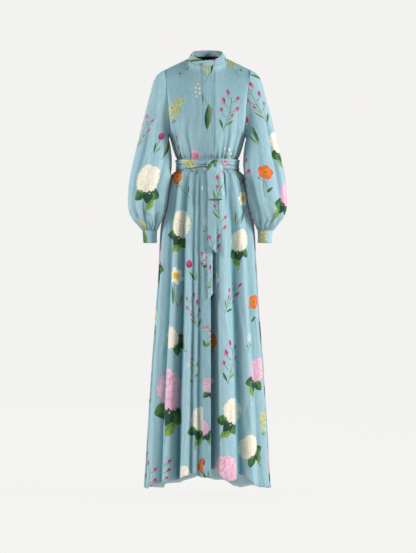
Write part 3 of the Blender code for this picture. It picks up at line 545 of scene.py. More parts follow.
def inset(grid, normals, sides, distance=STITCH_INSET):
    """Lines on a panel, a distance in from some of its edges: top, bottom, start or stop."""
    lines = []
    for side in sides:
        lifted = grid + STITCH_LIFT * normals
        if side in ("start", "stop"):
            lifted = lifted.transpose(1, 0, 2)
        if side in ("bottom", "stop"):
            lifted = lifted[::-1]
        lifted = lifted[:EDGE_ROWS]
        far = run_of(lifted)
        line = np.empty((lifted.shape[1], 3))
        for place in range(len(line)):
            for axis in range(3):
                line[place, axis] = np.interp(distance, far[:, place], lifted[:, place, axis])
        lines.append(line)
    return lines


def stitched(name, lines, closed=False):
    """Rows of stitches along lines of points."""
    points = []
    edges = []
    for line in lines:
        first = len(points)
        points += [tuple(point) for point in line]
        edges += [(place, place + 1) for place in range(first, len(points) - 1)]
        if closed:
            edges.append((len(points) - 1, first))
    mesh = bpy.data.meshes.new(name + "_lines")
    mesh.from_pydata(points, edges, [])
    made = bpy.data.objects.new(name, mesh)
    bpy.context.scene.collection.objects.link(made)
    rows = made.modifiers.new("stitches", "NODES")
    rows.node_group = stitch_tree
    for socket, value in (
        ("Pitch", STITCH_PITCH),
        ("Length", STITCH_LENGTH),
        ("Thickness", STITCH_THICKNESS),
        ("Thread", thread),
    ):
        rows[stitch_tree.interface.items_tree[socket].identifier] = value
    bpy.context.view_layer.update()
    seen = made.evaluated_get(bpy.context.evaluated_depsgraph_get())
    plain = bpy.data.meshes.new_from_object(seen)
    made.modifiers.clear()
    made.data = plain
    bpy.data.meshes.remove(mesh)
    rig.ride(made, "root")
    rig.slot(made, "printed_cloth")
    return made


def armhole(angle):
    """Point of the left armhole, by angle in degrees from the shoulder, over the front."""
    a = np.radians(angle)
    hollow = ARMHOLE_HOLLOW * np.sin(a) ** 2
    x = ARMHOLE_X + ARMHOLE_LEAN * np.cos(a) - hollow
    y = -ARMHOLE_HALF_DEPTH * np.sin(a) + SHOULDER_Y * (1 + np.cos(a)) / 2
    z = ARMHOLE_Z + ARMHOLE_HALF_HEIGHT * np.cos(a)
    return np.stack([x, y, z], axis=-1)


def neck_and_shoulder(sine, front):
    """Top edge of the bodice, by x as a share of the shoulder's: the neck seam, then the
    shoulder seam."""
    x = SHOULDER_X * sine
    across = np.abs(x)
    turn = np.arcsin(np.clip(across / NECK_HALF_WIDTH, 0, 1))
    y = (NECK_FRONT_Y if front else NECK_BACK_Y) * np.cos(turn)
    z = NECK_SIDE_Z + (-NECK_FRONT_DIP if front else NECK_BACK_RISE) * np.cos(turn)
    beyond = np.clip((across - NECK_HALF_WIDTH) / (SHOULDER_X - NECK_HALF_WIDTH), 0, 1)
    shoulder_end = armhole(0.0)
    y = y + beyond * shoulder_end[1]
    z = z + beyond * (shoulder_end[2] - NECK_SIDE_Z)
    return np.stack([x, y, z], axis=-1)


def bodice_levels(front):
    """For each level: the centre point, the side point, and its share of the shoulder's shape."""
    levels = []
    for row in SIDE_SEAM:
        centre = (0.0, row.front_y if front else row.back_y, row.z)
        levels.append((centre, (row.half_width, 0.0, row.z), 0.0))
    for i, row in enumerate(CHEST, start=1):
        share = i / len(CHEST)
        angle = 180.0 * (1 - share)
        side = armhole(angle if front else 360.0 - angle)
        centre = (0.0, row.front_y, row.front_z) if front else (0.0, row.back_y, row.back_z)
        levels.append((centre, tuple(side), share**SHOULDER_EASE))
    return levels


def bodice_row(level, top, bearings, front):
    """Points of one level. Bearings are degrees from the centre of that side, + to the left."""
    centre, side, shoulder_share = level
    across = np.sin(np.radians(bearings))
    round_it = np.cos(np.radians(bearings))
    x = side[0] * across
    y = side[1] + (centre[1] - side[1]) * round_it
    z = side[2] + (centre[2] - side[2]) * round_it
    row = np.stack([x, y, z], axis=-1)
    if shoulder_share > 0:
        top_centre, top_side, _ = top
        seam = neck_and_shoulder(across, front)
        for axis in (1, 2):
            level_top = (top_centre[axis] - top_side[axis]) * round_it
            row[:, axis] += shoulder_share * (seam[:, axis] - top_side[axis] - level_top)
    return row


def top_bearings(steps_neck, steps_shoulder):
    """Bearings that meet the neck seam evenly and then the shoulder seam, from 0 to 90."""
    turns = np.linspace(0, np.pi / 2, steps_neck + 1)
    neck = np.degrees(np.arcsin(NECK_HALF_WIDTH * np.sin(turns) / SHOULDER_X))
    shares = np.linspace(NECK_HALF_WIDTH / SHOULDER_X, 1.0, steps_shoulder + 1)
    return np.concatenate([neck, np.degrees(np.arcsin(shares))[1:]])


# A crease grows wider away from the waist and ends a little beyond its own height. It sets in
# over a short way, clear of the seam.
CREASE_SPREAD = 0.7
CREASE_END = 1.25
CREASE_SET_IN = 0.02
# Swells lean a little, and bend and fade over so many of their own widths.
SWELL_LEAN = 0.35
SWELL_DRIFT = 0.1
SWELL_BEND = 0.9
SWELL_BEND_WIDTHS = 9
SWELL_MEAN = 0.55
SWELL_FADE = 0.45
SWELL_FADE_WIDTHS = 14
BODICE_SWELLS = (0.071, 0.049, 0.033)
BODICE_SWELL_REACH = 0.0024
# The direction in which creases stand out is turned a little to the front or the back.
BODICE_FORWARD = 1.3
# The left front lies in up to a little beyond the right one's edge, and comes out from there.
LAP_START = 0.003
LAP_WIDTH = 0.016


def creases_from_waist(creases, bearing, away, start=0.012):
    """How far cloth stands out by bearing round the body and distance from the waist seam."""
    offset = np.zeros(np.broadcast(bearing, away).shape)
    for crease in creases:
        spread = crease.width * (1 + CREASE_SPREAD * away / crease.height)
        profile = bell(round_gap(bearing, crease.bearing), spread)
        profile = profile * (1 - ease(away / (CREASE_END * crease.height)))
        offset += crease.reach * profile
    return offset * ease((away - start) / CREASE_SET_IN)


def wander(across, along, seed, waves, reach):
    """Small uneven swells of the cloth: long in one direction and narrow in the other."""
    draw = np.random.default_rng(seed)
    offset = 0.0
    for wave in waves:
        lean = draw.uniform(-SWELL_LEAN, SWELL_LEAN)
        phase = draw.uniform(0, 2 * np.pi, 3)
        bend = SWELL_BEND * np.sin(along * 2 * np.pi / (wave * SWELL_BEND_WIDTHS) + phase[1])
        fade = SWELL_FADE * np.sin(along * 2 * np.pi / (wave * SWELL_FADE_WIDTHS) + phase[2])
        place = (across + lean * SWELL_DRIFT * along) * 2 * np.pi / wave
        offset = offset + (SWELL_MEAN + fade) * np.sin(place + phase[0] + bend)
    return reach * offset / len(waves)


def lap_in(x):
    """How far the left front lies in under the right one, by how far across it is."""
    return -LAP_DEPTH * (1 - ease((x - FRONT_EDGE_X - LAP_START) / LAP_WIDTH))


def straighten(row, start, xs):
    """Puts the last points of a row at the given x, following the row's own curve."""
    order = np.argsort(row[:, 0])
    for axis in (1, 2):
        row[start:, axis] = np.interp(xs, row[order, 0], row[order, axis])
    row[start:, 0] = xs


def eased_below_neck(grid):
    """Rounds off the turn from the neck to the shoulder, away from the seams."""
    down = run_of(grid[::-1])[::-1]
    along = run_of(grid, 1)
    from_side = np.minimum(along, along[:, -1:] - along)
    share = ease((down - 0.002) / NECK_EASE) * ease(from_side / NECK_EASE)
    soft = smoothed(grid, 1, NECK_EASE, False)
    return grid + share[..., None] * (soft - grid)


def bodice_grid(front, lower, upper, seed, lapped=False):
    """Grid of outer points of a bodice panel, from the waist up. Its columns run from the lower
    bearings to the upper ones, in degrees."""
    levels = bodice_levels(front)
    lower = between(lower, FINER)
    upper = between(upper, FINER)
    rows = []
    turned = []
    for level in levels:
        share = level[2] ** 0.5
        bearings = (1 - share) * lower + share * upper
        rows.append(bodice_row(level, levels[-1], bearings, front))
        turned.append(bearings)
    grid = finer_rows(np.array(rows), FINER)
    places = np.arange(len(levels))
    bearing = through(between(places, FINER), places, np.array(turned))
    height = np.maximum(grid[..., 2] - WAIST_Z, 0.0)
    round_body = bearing if front else 180.0 - bearing
    offset = creases_from_waist(BODICE_CREASES, round_body, height)
    # The swells set in above the belt and all but die away over the bust.
    full = ease((height - 0.03) / 0.06) * (1 - 0.85 * ease((height - 0.15) / 0.14))
    swells = wander(grid[..., 0], grid[..., 2], seed, BODICE_SWELLS, BODICE_SWELL_REACH)
    offset = offset + full * swells
    if lapped:
        offset = offset + lap_in(grid[..., 0])
    return eased_below_neck(grid) + level_out(grid, BODICE_FORWARD) * offset[..., None]


# Columns of the panels, each step cut into finer ones: those from a front edge or the middle of
# the back to the side meet the neck seam first and then the shoulder seam.
FINER = 6
NECK_STEPS = 5
SHOULDER_STEPS = 7
SIDE_STEPS = NECK_STEPS + SHOULDER_STEPS
PLACKET_STEPS = 3
LAP_STEPS = 2
WAIST_HALF_WIDTH = 0.115

half_top = top_bearings(NECK_STEPS, SHOULDER_STEPS)
side_top = half_top[1:]
edge_xs = np.array([PLACKET_LEFT_X, FRONT_EDGE_X])
edges_below = np.degrees(np.arcsin(edge_xs / WAIST_HALF_WIDTH))
edges_above = np.degrees(np.arcsin(edge_xs / SHOULDER_X))

placket_below = np.linspace(*edges_below, PLACKET_STEPS + 1)
lower = np.concatenate([np.linspace(-90.0, edges_below[0], SIDE_STEPS + 1), placket_below[1:]])
upper = np.concatenate([-side_top[::-1], np.linspace(*edges_above, PLACKET_STEPS + 1)])
bodice_right = bodice_grid(True, lower, upper, seed=3)
# Beside and under the placket the columns run upright, so that its edges are straight.
placket_columns = PLACKET_STEPS * FINER + 1
placket_xs = np.linspace(PLACKET_LEFT_X, FRONT_EDGE_X, placket_columns)
for row in bodice_right:
    before = len(row) - placket_columns - 2 * FINER
    spread = np.linspace(row[before, 0], PLACKET_LEFT_X, 2 * FINER + 1)[:-1]
    straighten(row, before, np.concatenate([spread, placket_xs]))

side_below = np.linspace(edges_below[1], 90.0, SIDE_STEPS + 1)
lower = np.concatenate([np.linspace(*edges_below, LAP_STEPS + 1), side_below[1:]])
upper = np.concatenate([np.linspace(*edges_above, LAP_STEPS + 1), side_top])
bodice_left = bodice_grid(True, lower, upper, seed=5, lapped=True)

lower = np.linspace(90.0, -90.0, 2 * SIDE_STEPS + 1)
upper = np.concatenate([half_top[::-1], -side_top])
bodice_back = bodice_grid(False, lower, upper, seed=8)


# The cloth itself: a slubby twill with faint upright streaks and a print of scattered flowers on
# its face, paler and plain on its back. Threads and streaks are counted to a metre.
GROUND_DARK = (0.232, 0.392, 0.450, 1.0)
GROUND_LIGHT = (0.345, 0.522, 0.574, 1.0)
BACK_DARK = (0.50, 0.66, 0.70, 1.0)
BACK_LIGHT = (0.64, 0.77, 0.80, 1.0)
STREAK_ACROSS = 420.0
STREAK_ALONG = 22.0
THREAD_ACROSS = 1300.0
THREAD_ALONG = 90.0
THREAD_SHARE = 0.55
GROUND_RANGE = (0.52, 1.02)
PRINT_SOAKED = 0.35
PRINT_GREYS = (0.45, 1.15)
# Painted shade darkens the bottoms of folds towards a deep teal, and a painted highlight lightens their tops, by how
# far they are sunk.
ROUND_HEIGHT = -0.0100
RIDGE_PAINTED_HIGHLIGHT = 1.16
RIDGE_HEIGHT = -0.0040
VALLEY_SUNK = 0.0100
VALLEY_PAINTED_SHADE = (0.270, 0.500, 0.540, 1.0)
CLOTH_LOOKS = {
    "Roughness": 0.74,
    "Sheen Weight": 0.14,
    "Sheen Roughness": 0.45,
    "Specular IOR Level": 0.24,
}
WEAVE_STRENGTH = 0.35
WEAVE_DEPTH = 0.0006


def blend(tree, share, start, stop, way="MIX"):
    """A colour between two, by a share. Each of the three may be fixed or a socket."""
    ends = [(*end[:3], 1.0) if isinstance(end, tuple) else end for end in (start, stop)]
    inputs = {0: share, 6: ends[0], 7: ends[1]}
    return add_node(tree, "ShaderNodeMix", inputs, data_type="RGBA", blend_type=way).outputs[2]


def mapped(tree, value, given, wanted=(0.0, 1.0), easing="LINEAR"):
    """A number taken from a given range to the wanted one, and held at its ends."""
    inputs = {
        "Value": value,
        "From Min": given[0],
        "From Max": given[1],
        "To Min": wanted[0],
        "To Max": wanted[1],
    }
    return add_node(tree, "ShaderNodeMapRange", inputs, interpolation_type=easing).outputs["Result"]


def streaks(tree, plane, across, along, detail):
    """Noise that is drawn out along the cloth, from 0 to 1."""
    stretched = add_node(tree, "ShaderNodeMapping", {"Vector": plane, "Scale": (across, along, 1.0)})
    inputs = {"Vector": stretched.outputs["Vector"], "Scale": 1.0, "Detail": detail}
    return add_node(tree, "ShaderNodeTexNoise", inputs, noise_dimensions="2D").outputs["Fac"]


def twill_group(name, dark, light):
    """Node group that lays a print's colour on the woven ground and paints shade into the bottoms of folds and a
    highlight on their tops: in Print and Cover, out Colour and Height."""
    group = bpy.data.node_groups.new(name, "ShaderNodeTree")
    add_sockets(group, "INPUT", {"Print": "Color", "Cover": "Float"})
    add_sockets(group, "OUTPUT", {"Colour": "Color", "Height": "Float"})
    given = add_node(group, "NodeGroupInput").outputs
    plane = add_node(group, "ShaderNodeUVMap", uv_map="cloth").outputs[0]
    broad = streaks(group, plane, STREAK_ACROSS, STREAK_ALONG, 3.0)
    fine = streaks(group, plane, THREAD_ACROSS, THREAD_ALONG, 1.0)
    inputs = {0: fine, 1: THREAD_SHARE, 2: broad}
    height = add_node(group, "ShaderNodeMath", inputs, operation="MULTIPLY_ADD").outputs[0]
    share = mapped(group, height, GROUND_RANGE)
    ground = blend(group, share, dark, light)
    grey = mapped(group, share, (0.0, 1.0), PRINT_GREYS)
    printed = blend(group, PRINT_SOAKED, given["Print"], grey, "MULTIPLY")
    laid = blend(group, given["Cover"], ground, printed)
    # Painted shade and highlight: the colour is darkened towards a deep teal in the bottoms of folds and lightened on
    # their tops, by how far each point is sunk.
    sunk = add_node(group, "ShaderNodeAttribute", attribute_name="hollow").outputs["Fac"]
    painted_highlight = mapped(group, sunk, (ROUND_HEIGHT, RIDGE_HEIGHT), (RIDGE_PAINTED_HIGHLIGHT, 1.0))
    clear_of_painted_shade = mapped(group, sunk, (VALLEY_SUNK, RIDGE_HEIGHT))
    painted_fold_light = blend(group, clear_of_painted_shade, VALLEY_PAINTED_SHADE, painted_highlight)
    shaded = blend(group, 1.0, laid, painted_fold_light, "MULTIPLY")
    add_node(group, "NodeGroupOutput", {"Colour": shaded, "Height": height})
    return group


def cloth_material(name, group, draw=None):
    """Twill with a motif drawn on it, or plain."""
    material, tree, shader = new_material(name)
    twill = add_node(tree, "ShaderNodeGroup", node_tree=group)
    twill.inputs["Cover"].default_value = 0.0
    if draw:
        sketch = Sketch(tree)
        draw(sketch)
        give(tree, twill, {"Print": sketch.colour, "Cover": sketch.cover.socket})
    inputs = {"Strength": WEAVE_STRENGTH, "Distance": WEAVE_DEPTH, "Height": twill.outputs["Height"]}
    weave = add_node(tree, "ShaderNodeBump", inputs).outputs["Normal"]
    give(tree, shader, {**CLOTH_LOOKS, "Base Color": twill.outputs["Colour"], "Normal": weave})
    return material


class Field:
    """A number that changes over the cloth, worked out by shader nodes."""

    def __init__(self, tree, socket):
        self.tree = tree
        self.socket = socket

    def worked(self, operation, *others):
        values = [value.socket if isinstance(value, Field) else value for value in (self, *others)]
        made = add_node(self.tree, "ShaderNodeMath", dict(enumerate(values)), operation=operation)
        return Field(self.tree, made.outputs[0])

    def __add__(self, other):
        return self.worked("ADD", other)

    def __sub__(self, other):
        return self.worked("SUBTRACT", other)

    def __mul__(self, other):
        return self.worked("MULTIPLY", other)

    def __truediv__(self, other):
        return self.worked("DIVIDE", other)

    def __abs__(self):
        return self.worked("ABSOLUTE")

    def inside(self, edge=1.0, soft=0.06):
        """1 where the field is below the edge and 0 above it."""
        given = (edge - soft, edge + soft)
        return Field(self.tree, mapped(self.tree, self.socket, given, (1.0, 0.0), "SMOOTHSTEP"))


class Sketch:
    """A motif drawn with shader nodes, stroke over stroke, in its own plane: x across, y up."""

    def __init__(self, tree):
        self.tree = tree
        self.plane = add_node(tree, "ShaderNodeUVMap", uv_map="motif").outputs[0]
        self.colour = None
        self.cover = None

    def seen_from(self, x, y, turn=0.0, across=1.0, up=1.0):
        """The plane as seen from a place on it, turned anticlockwise and scaled."""
        inputs = {
            "Vector": self.plane,
            "Location": (x, y, 0.0),
            "Rotation": (0.0, 0.0, np.radians(turn)),
            "Scale": (across, up, 1.0),
        }
        return add_node(self.tree, "ShaderNodeMapping", inputs, vector_type="TEXTURE").outputs[0]

    def split(self, plane):
        made = add_node(self.tree, "ShaderNodeSeparateXYZ", {0: plane})
        return Field(self.tree, made.outputs[0]), Field(self.tree, made.outputs[1])

    def reach(self, plane):
        made = add_node(self.tree, "ShaderNodeVectorMath", {0: plane}, operation="LENGTH")
        return Field(self.tree, made.outputs["Value"])

    def lay(self, mask, colour, tip=None, share=None):
        """Lays a colour where the mask is 1, or a blend of two by a share."""
        if tip:
            colour = blend(self.tree, share.socket, colour, tip)
        self.colour = blend(self.tree, mask.socket, self.colour or colour, colour)
        self.cover = mask if self.cover is None else self.cover.worked("MAXIMUM", mask)

    def oval(self, x, y, turn, across, up, colour, tip):
        far = self.reach(self.seen_from(x, y, turn, across, up))
        self.lay(far.inside(1.0, 0.08), colour, tip, far)

    def leaf(self, x, y, turn, length, width, dark, light, veins=9.0):
        """A pointed leaf about its middle, with a pale side, a midrib and side veins."""
        px, py = self.split(self.seen_from(x, y, turn, width, length))
        side = abs(px)
        mask = (py * py + side).inside(1.0, 0.07)
        vein = ((py - side * 0.45) * veins).worked("SINE").inside(-0.55, 0.35)
        share = px.inside(0.0, 0.5) * 0.7 + vein * 0.35
        self.lay(mask, light, dark, share)
        self.lay(mask * side.inside(0.07, 0.04), light)

    def stem(self, start, stop, bend, width, colour):
        """A thin curved line between two points, bowed sideways by the bend."""
        (x0, y0), (x1, y1) = start, stop
        length = np.hypot(x1 - x0, y1 - y0)
        turn = np.degrees(np.arctan2(x0 - x1, y1 - y0))
        plane = self.seen_from((x0 + x1) / 2, (y0 + y1) / 2, turn, width, length / 2)
        px, py = self.split(plane)
        bow = px - bend / width + py * py * (bend / width)
        self.lay(abs(bow).inside(1.0, 0.5) * abs(py).inside(1.0, 0.02), colour)

    def bloom(self, x, y, turn, size, petals, depth, inner, outer, squash=1.0):
        """An open flower: petals round a middle, darker where they meet."""
        plane = self.seen_from(x, y, turn, size, size * squash)
        px, py = self.split(plane)
        lobe = abs((py.worked("ARCTAN2", px) * (petals / 2)).worked("COSINE"))
        far = self.reach(plane) / (lobe.worked("POWER", 0.6) * depth + (1 - depth))
        share = far.worked("POWER", 1.3) - lobe.inside(0.22, 0.2) * 0.5
        self.lay(far.inside(1.0, 0.05), inner, outer, share)

    def cells(self, scale, crowded):
        """Middles strewn over the plane. For each spot: how far off its nearest middle is, a
        random number for that middle, and where it is."""
        inputs = {"Vector": self.plane, "Scale": scale, "Randomness": crowded}
        made = add_node(self.tree, "ShaderNodeTexVoronoi", inputs, voronoi_dimensions="2D").outputs
        chance, _ = self.split(made["Color"])
        return Field(self.tree, made["Distance"]), chance, made["Position"]

    def florets(self, mask, scale, petals, gap, pale, deep, eye, crowded=0.85):
        """Many small flowers packed into a shape, each one a little different."""
        far, chance, middle = self.cells(scale, crowded)
        inputs = {0: self.plane, 1: middle}
        aside = add_node(self.tree, "ShaderNodeVectorMath", inputs, operation="SUBTRACT")
        px, py = self.split(aside.outputs[0])
        angle = py.worked("ARCTAN2", px) * (petals / 2) + chance * 6.0
        edge = abs(angle.worked("COSINE")) * 0.26 + 0.30
        if gap:
            self.lay(mask, gap, deep, chance)
        flower = mask * (far / edge).inside(1.0, 0.12)
        self.lay(flower, deep, pale, far * 1.1 + chance * 0.55)
        self.lay(flower * far.inside(0.09, 0.03), eye)

    def dots(self, mask, scale, size, colour, tip, crowded=1.0):
        """Loose round dots inside a shape."""
        far, chance, _ = self.cells(scale, crowded)
        self.lay(mask * far.inside(size, 0.06), colour, tip, chance)


# The print's colours, and then its motifs, each drawn in a plane that reaches from -1 to 1.
DARK_GREEN = (0.010, 0.060, 0.035)
LEAF_GREEN = (0.075, 0.200, 0.040)
FRESH_GREEN = (0.230, 0.340, 0.060)
STEM_GREEN = (0.120, 0.220, 0.050)
TWIG = (0.190, 0.070, 0.035)
CREAM = (0.800, 0.740, 0.580)
IVORY = (0.720, 0.640, 0.480)
WHITE = (0.840, 0.830, 0.780)
YELLOW = (0.800, 0.560, 0.040)
AMBER = (0.760, 0.330, 0.020)
PALE_PINK = (0.820, 0.520, 0.620)
PINK = (0.720, 0.260, 0.420)
ROSE = (0.620, 0.090, 0.230)
PLUM = (0.210, 0.015, 0.090)
ORANGE = (0.800, 0.130, 0.020)
RED = (0.520, 0.020, 0.020)
LILAC = (0.380, 0.400, 0.680)


def round_head(sketch, pale, middle, deep):
    sketch.stem((0.02, 0.1), (0.12, -1.0), 0.05, 0.022, STEM_GREEN)
    sketch.leaf(-0.24, -0.20, 125.0, 0.34, 0.21, DARK_GREEN, LEAF_GREEN)
    sketch.leaf(0.33, -0.17, -112.0, 0.34, 0.25, DARK_GREEN, LEAF_GREEN)
    sketch.leaf(0.10, -0.26, 176.0, 0.30, 0.20, DARK_GREEN, DARK_GREEN)
    sketch.leaf(0.22, -0.60, -38.0, 0.26, 0.13, LEAF_GREEN, FRESH_GREEN)
    plane = sketch.seen_from(0.0, 0.42, 0.0, 0.56, 0.55)
    inputs = {"Vector": sketch.plane, "Scale": 8.0}
    ragged = add_node(sketch.tree, "ShaderNodeTexNoise", inputs, noise_dimensions="2D")
    far = sketch.reach(plane) + (Field(sketch.tree, ragged.outputs["Fac"]) - 0.42) * 0.50
    sketch.florets(far.inside(1.0, 0.03), 8.5, 4, deep, pale, middle, deep)
    px, py = sketch.split(plane)
    sketch.lay(far.inside(1.0, 0.03) * (px * -0.7 + py).inside(-0.35, 0.55) * 0.45, deep)


def pink_head(sketch):
    round_head(sketch, (0.820, 0.600, 0.690), (0.760, 0.460, 0.580), (0.640, 0.300, 0.440))


def cream_head(sketch):
    round_head(sketch, WHITE, CREAM, IVORY)


def trumpet_flower(sketch):
    sketch.stem((0.0, 0.35), (-0.16, -1.0), -0.16, 0.022, STEM_GREEN)
    sketch.leaf(0.18, -0.45, -10.0, 0.52, 0.075, DARK_GREEN, LEAF_GREEN)
    sketch.leaf(-0.30, -0.60, 14.0, 0.38, 0.055, LEAF_GREEN, FRESH_GREEN)
    sketch.bloom(0.03, 0.52, 12.0, 0.44, 6, 0.45, IVORY, WHITE)
    sketch.bloom(0.03, 0.52, 30.0, 0.17, 9, 0.14, AMBER, YELLOW)


def nodding_bells(sketch):
    for x, y, turn, size in (
        (-0.28, 0.66, 24.0, 0.13),
        (0.20, 0.78, -20.0, 0.15),
        (-0.36, 0.18, 30.0, 0.14),
        (0.32, 0.34, -26.0, 0.16),
        (-0.20, -0.18, 22.0, 0.11),
        (0.34, -0.10, -30.0, 0.12),
    ):
        sketch.stem((0.0, y - 0.30), (x, y + size * 0.8), 0.09 * np.sign(x), 0.013, STEM_GREEN)
        sketch.leaf(x, y, turn, size, size * 0.50, PLUM, ROSE, 3.0)
        sketch.oval(x + 0.02 * np.sign(x), y - size * 0.6, turn, size * 0.42, size * 0.36, ROSE, PINK)
    sketch.stem((0.0, 0.60), (0.04, -1.0), 0.08, 0.015, STEM_GREEN)
    sketch.leaf(-0.17, -0.56, 40.0, 0.24, 0.050, LEAF_GREEN, FRESH_GREEN)
    sketch.leaf(0.20, -0.70, -34.0, 0.24, 0.055, DARK_GREEN, LEAF_GREEN)


def poppy(sketch):
    sketch.stem((0.0, 0.4), (0.10, -1.0), 0.14, 0.018, STEM_GREEN)
    sketch.stem((0.07, -0.35), (-0.34, 0.05), 0.12, 0.014, STEM_GREEN)
    sketch.leaf(-0.35, 0.10, 20.0, 0.10, 0.060, LEAF_GREEN, FRESH_GREEN, 3.0)
    sketch.leaf(0.27, -0.50, -42.0, 0.25, 0.085, DARK_GREEN, LEAF_GREEN)
    sketch.bloom(0.03, 0.50, 10.0, 0.46, 5, 0.22, (0.800, 0.260, 0.030), (0.740, 0.080, 0.020), 0.9)
    sketch.bloom(0.03, 0.49, 46.0, 0.20, 5, 0.24, AMBER, ORANGE)
    sketch.oval(0.03, 0.49, 0.0, 0.065, 0.065, FRESH_GREEN, DARK_GREEN)


def yellow_spray(sketch):
    sketch.stem((0.0, 0.75), (-0.05, -1.0), 0.10, 0.018, STEM_GREEN)
    for x, y, turn in ((0.26, 0.30, -38.0), (-0.24, 0.08, 44.0), (0.28, -0.28, -46.0)):
        sketch.stem((0.04, y - 0.22), (x, y), 0.02, 0.014, STEM_GREEN)
        sketch.leaf(x * 1.15, y - 0.14, turn, 0.19, 0.055, LEAF_GREEN, FRESH_GREEN)
    far = sketch.reach(sketch.seen_from(0.04, 0.34, -8.0, 0.40, 0.64))
    sketch.dots(far.inside(1.0, 0.03), 5.2, 0.38, (0.860, 0.680, 0.030), (0.760, 0.500, 0.020), 0.95)


def tendril(sketch):
    sketch.stem((0.10, -1.0), (-0.16, 0.10), 0.20, 0.014, FRESH_GREEN)
    sketch.stem((-0.16, 0.08), (0.20, 0.86), -0.22, 0.013, FRESH_GREEN)
    sketch.stem((-0.02, -0.28), (0.30, 0.20), -0.12, 0.011, STEM_GREEN)
    for x, y, turn, long in (
        (0.14, -0.62, -52.0, 0.16),
        (-0.26, -0.30, 48.0, 0.18),
        (-0.30, 0.36, 30.0, 0.15),
        (0.02, 0.30, -50.0, 0.13),
        (0.05, 0.66, -64.0, 0.11),
    ):
        sketch.leaf(x, y, turn, long, long * 0.34, LEAF_GREEN, FRESH_GREEN, 3.0)
    for x, y, wide in ((0.32, 0.28, 0.075), (0.22, 0.90, 0.085), (-0.34, 0.06, 0.060)):
        sketch.oval(x, y, 0.0, wide, wide * 1.25, PINK, PALE_PINK)


def blossom_branch(sketch):
    sketch.stem((-0.85, -0.62), (0.88, -0.12), -0.62, 0.022, TWIG)
    sketch.stem((-0.10, 0.25), (0.10, 0.72), 0.06, 0.015, TWIG)
    for x, y, turn in ((-0.55, 0.16, 60.0), (0.40, 0.60, -30.0), (0.84, 0.10, -80.0), (-0.20, -0.1, 100.0)):
        sketch.leaf(x, y, turn, 0.15, 0.060, DARK_GREEN, LEAF_GREEN)
    px, py = sketch.split(sketch.seen_from(0.05, -0.68))
    arc = abs((px * px + py * py).worked("SQRT") - 0.98)
    mask = arc.inside(0.25, 0.03) * (py * -1.0).inside(-0.28, 0.04)
    sketch.florets(mask, 5.4, 5, None, WHITE, PALE_PINK, ROSE, 0.75)


def blade_leaf(sketch):
    px, py = sketch.split(sketch.seen_from(-0.10, 0.0, 0.0, 0.16, 1.0))
    bowed = px - py * py * 1.4
    side = abs(bowed)
    mask = (py * py + side).inside(0.97, 0.05)
    sketch.lay(mask, FRESH_GREEN, DARK_GREEN, bowed.inside(0.05, 0.12))
    sketch.lay(mask * ((bowed * 16.0).worked("SINE").inside(-0.6, 0.3)) * 0.6, LEAF_GREEN)


def pink_star(sketch):
    sketch.stem((0.0, 0.4), (-0.06, -1.0), -0.10, 0.017, STEM_GREEN)
    sketch.leaf(0.16, -0.30, -32.0, 0.26, 0.055, LEAF_GREEN, FRESH_GREEN)
    sketch.leaf(-0.24, -0.52, 36.0, 0.27, 0.060, DARK_GREEN, LEAF_GREEN)
    sketch.bloom(0.0, 0.52, 8.0, 0.43, 8, 0.30, ROSE, PALE_PINK)
    middle = sketch.reach(sketch.seen_from(0.0, 0.52, 0.0, 0.11, 0.11)).inside(1.0, 0.08)
    sketch.dots(middle, 22.0, 0.5, YELLOW, AMBER)


def small_blue(sketch):
    sketch.stem((0.05, 0.2), (-0.08, -1.0), -0.08, 0.014, STEM_GREEN)
    sketch.leaf(-0.22, -0.25, 50.0, 0.22, 0.065, DARK_GREEN, LEAF_GREEN)
    sketch.leaf(0.20, -0.48, -44.0, 0.22, 0.060, LEAF_GREEN, FRESH_GREEN)
    far = sketch.reach(sketch.seen_from(0.02, 0.46, 0.0, 0.44, 0.46))
    sketch.florets(far.inside(1.0, 0.03), 6.5, 5, None, WHITE, LILAC, YELLOW, 1.0)


def cupped_flower(sketch, outer, flame):
    sketch.stem((0.0, 0.35), (0.06, -1.0), 0.10, 0.022, STEM_GREEN)
    sketch.leaf(-0.16, -0.42, 12.0, 0.48, 0.085, DARK_GREEN, LEAF_GREEN)
    sketch.leaf(0.22, -0.55, -20.0, 0.36, 0.070, LEAF_GREEN, FRESH_GREEN)
    for x, turn in ((-0.13, 12.0), (0.13, -12.0), (0.0, 0.0)):
        px, py = sketch.split(sketch.seen_from(x, 0.60, turn, 0.18, 0.37))
        mask = (py * py + abs(px) * 1.05).inside(1.0, 0.05)
        stripe = (abs(px) + (px * 9.0 + py * 2.0).worked("SINE") * 0.16 - py * 0.25).inside(0.34, 0.2)
        sketch.lay(mask, outer, flame, stripe)


def flamed_cup(sketch):
    cupped_flower(sketch, RED, WHITE)


def cream_cup(sketch):
    cupped_flower(sketch, WHITE, PALE_PINK)


def plum_cup(sketch):
    cupped_flower(sketch, PLUM, ROSE)


def white_bells(sketch):
    sketch.leaf(0.17, -0.22, -8.0, 0.66, 0.17, DARK_GREEN, LEAF_GREEN, 2.0)
    sketch.stem((-0.02, 0.9), (0.06, -1.0), -0.24, 0.014, FRESH_GREEN)
    for x, y in ((-0.15, 0.72), (-0.33, 0.52), (-0.10, 0.42), (-0.36, 0.22), (-0.12, 0.12), (-0.34, -0.06)):
        sketch.oval(x, y, 0.0, 0.072, 0.082, WHITE, IVORY)


def bleeding_row(sketch):
    sketch.stem((-0.42, -0.5), (0.40, 0.35), -0.50, 0.014, TWIG)
    for x, y in ((-0.38, 0.05), (-0.20, 0.38), (0.05, 0.52), (0.26, 0.40), (0.40, 0.12)):
        sketch.bloom(x, y - 0.10, 90.0, 0.125, 2, 0.5, ROSE, PINK)
        sketch.oval(x, y - 0.24, 0.0, 0.035, 0.06, WHITE, PALE_PINK)
    sketch.leaf(-0.36, -0.62, 30.0, 0.24, 0.10, LEAF_GREEN, FRESH_GREEN)
    sketch.leaf(-0.10, -0.60, -42.0, 0.26, 0.10, DARK_GREEN, LEAF_GREEN)


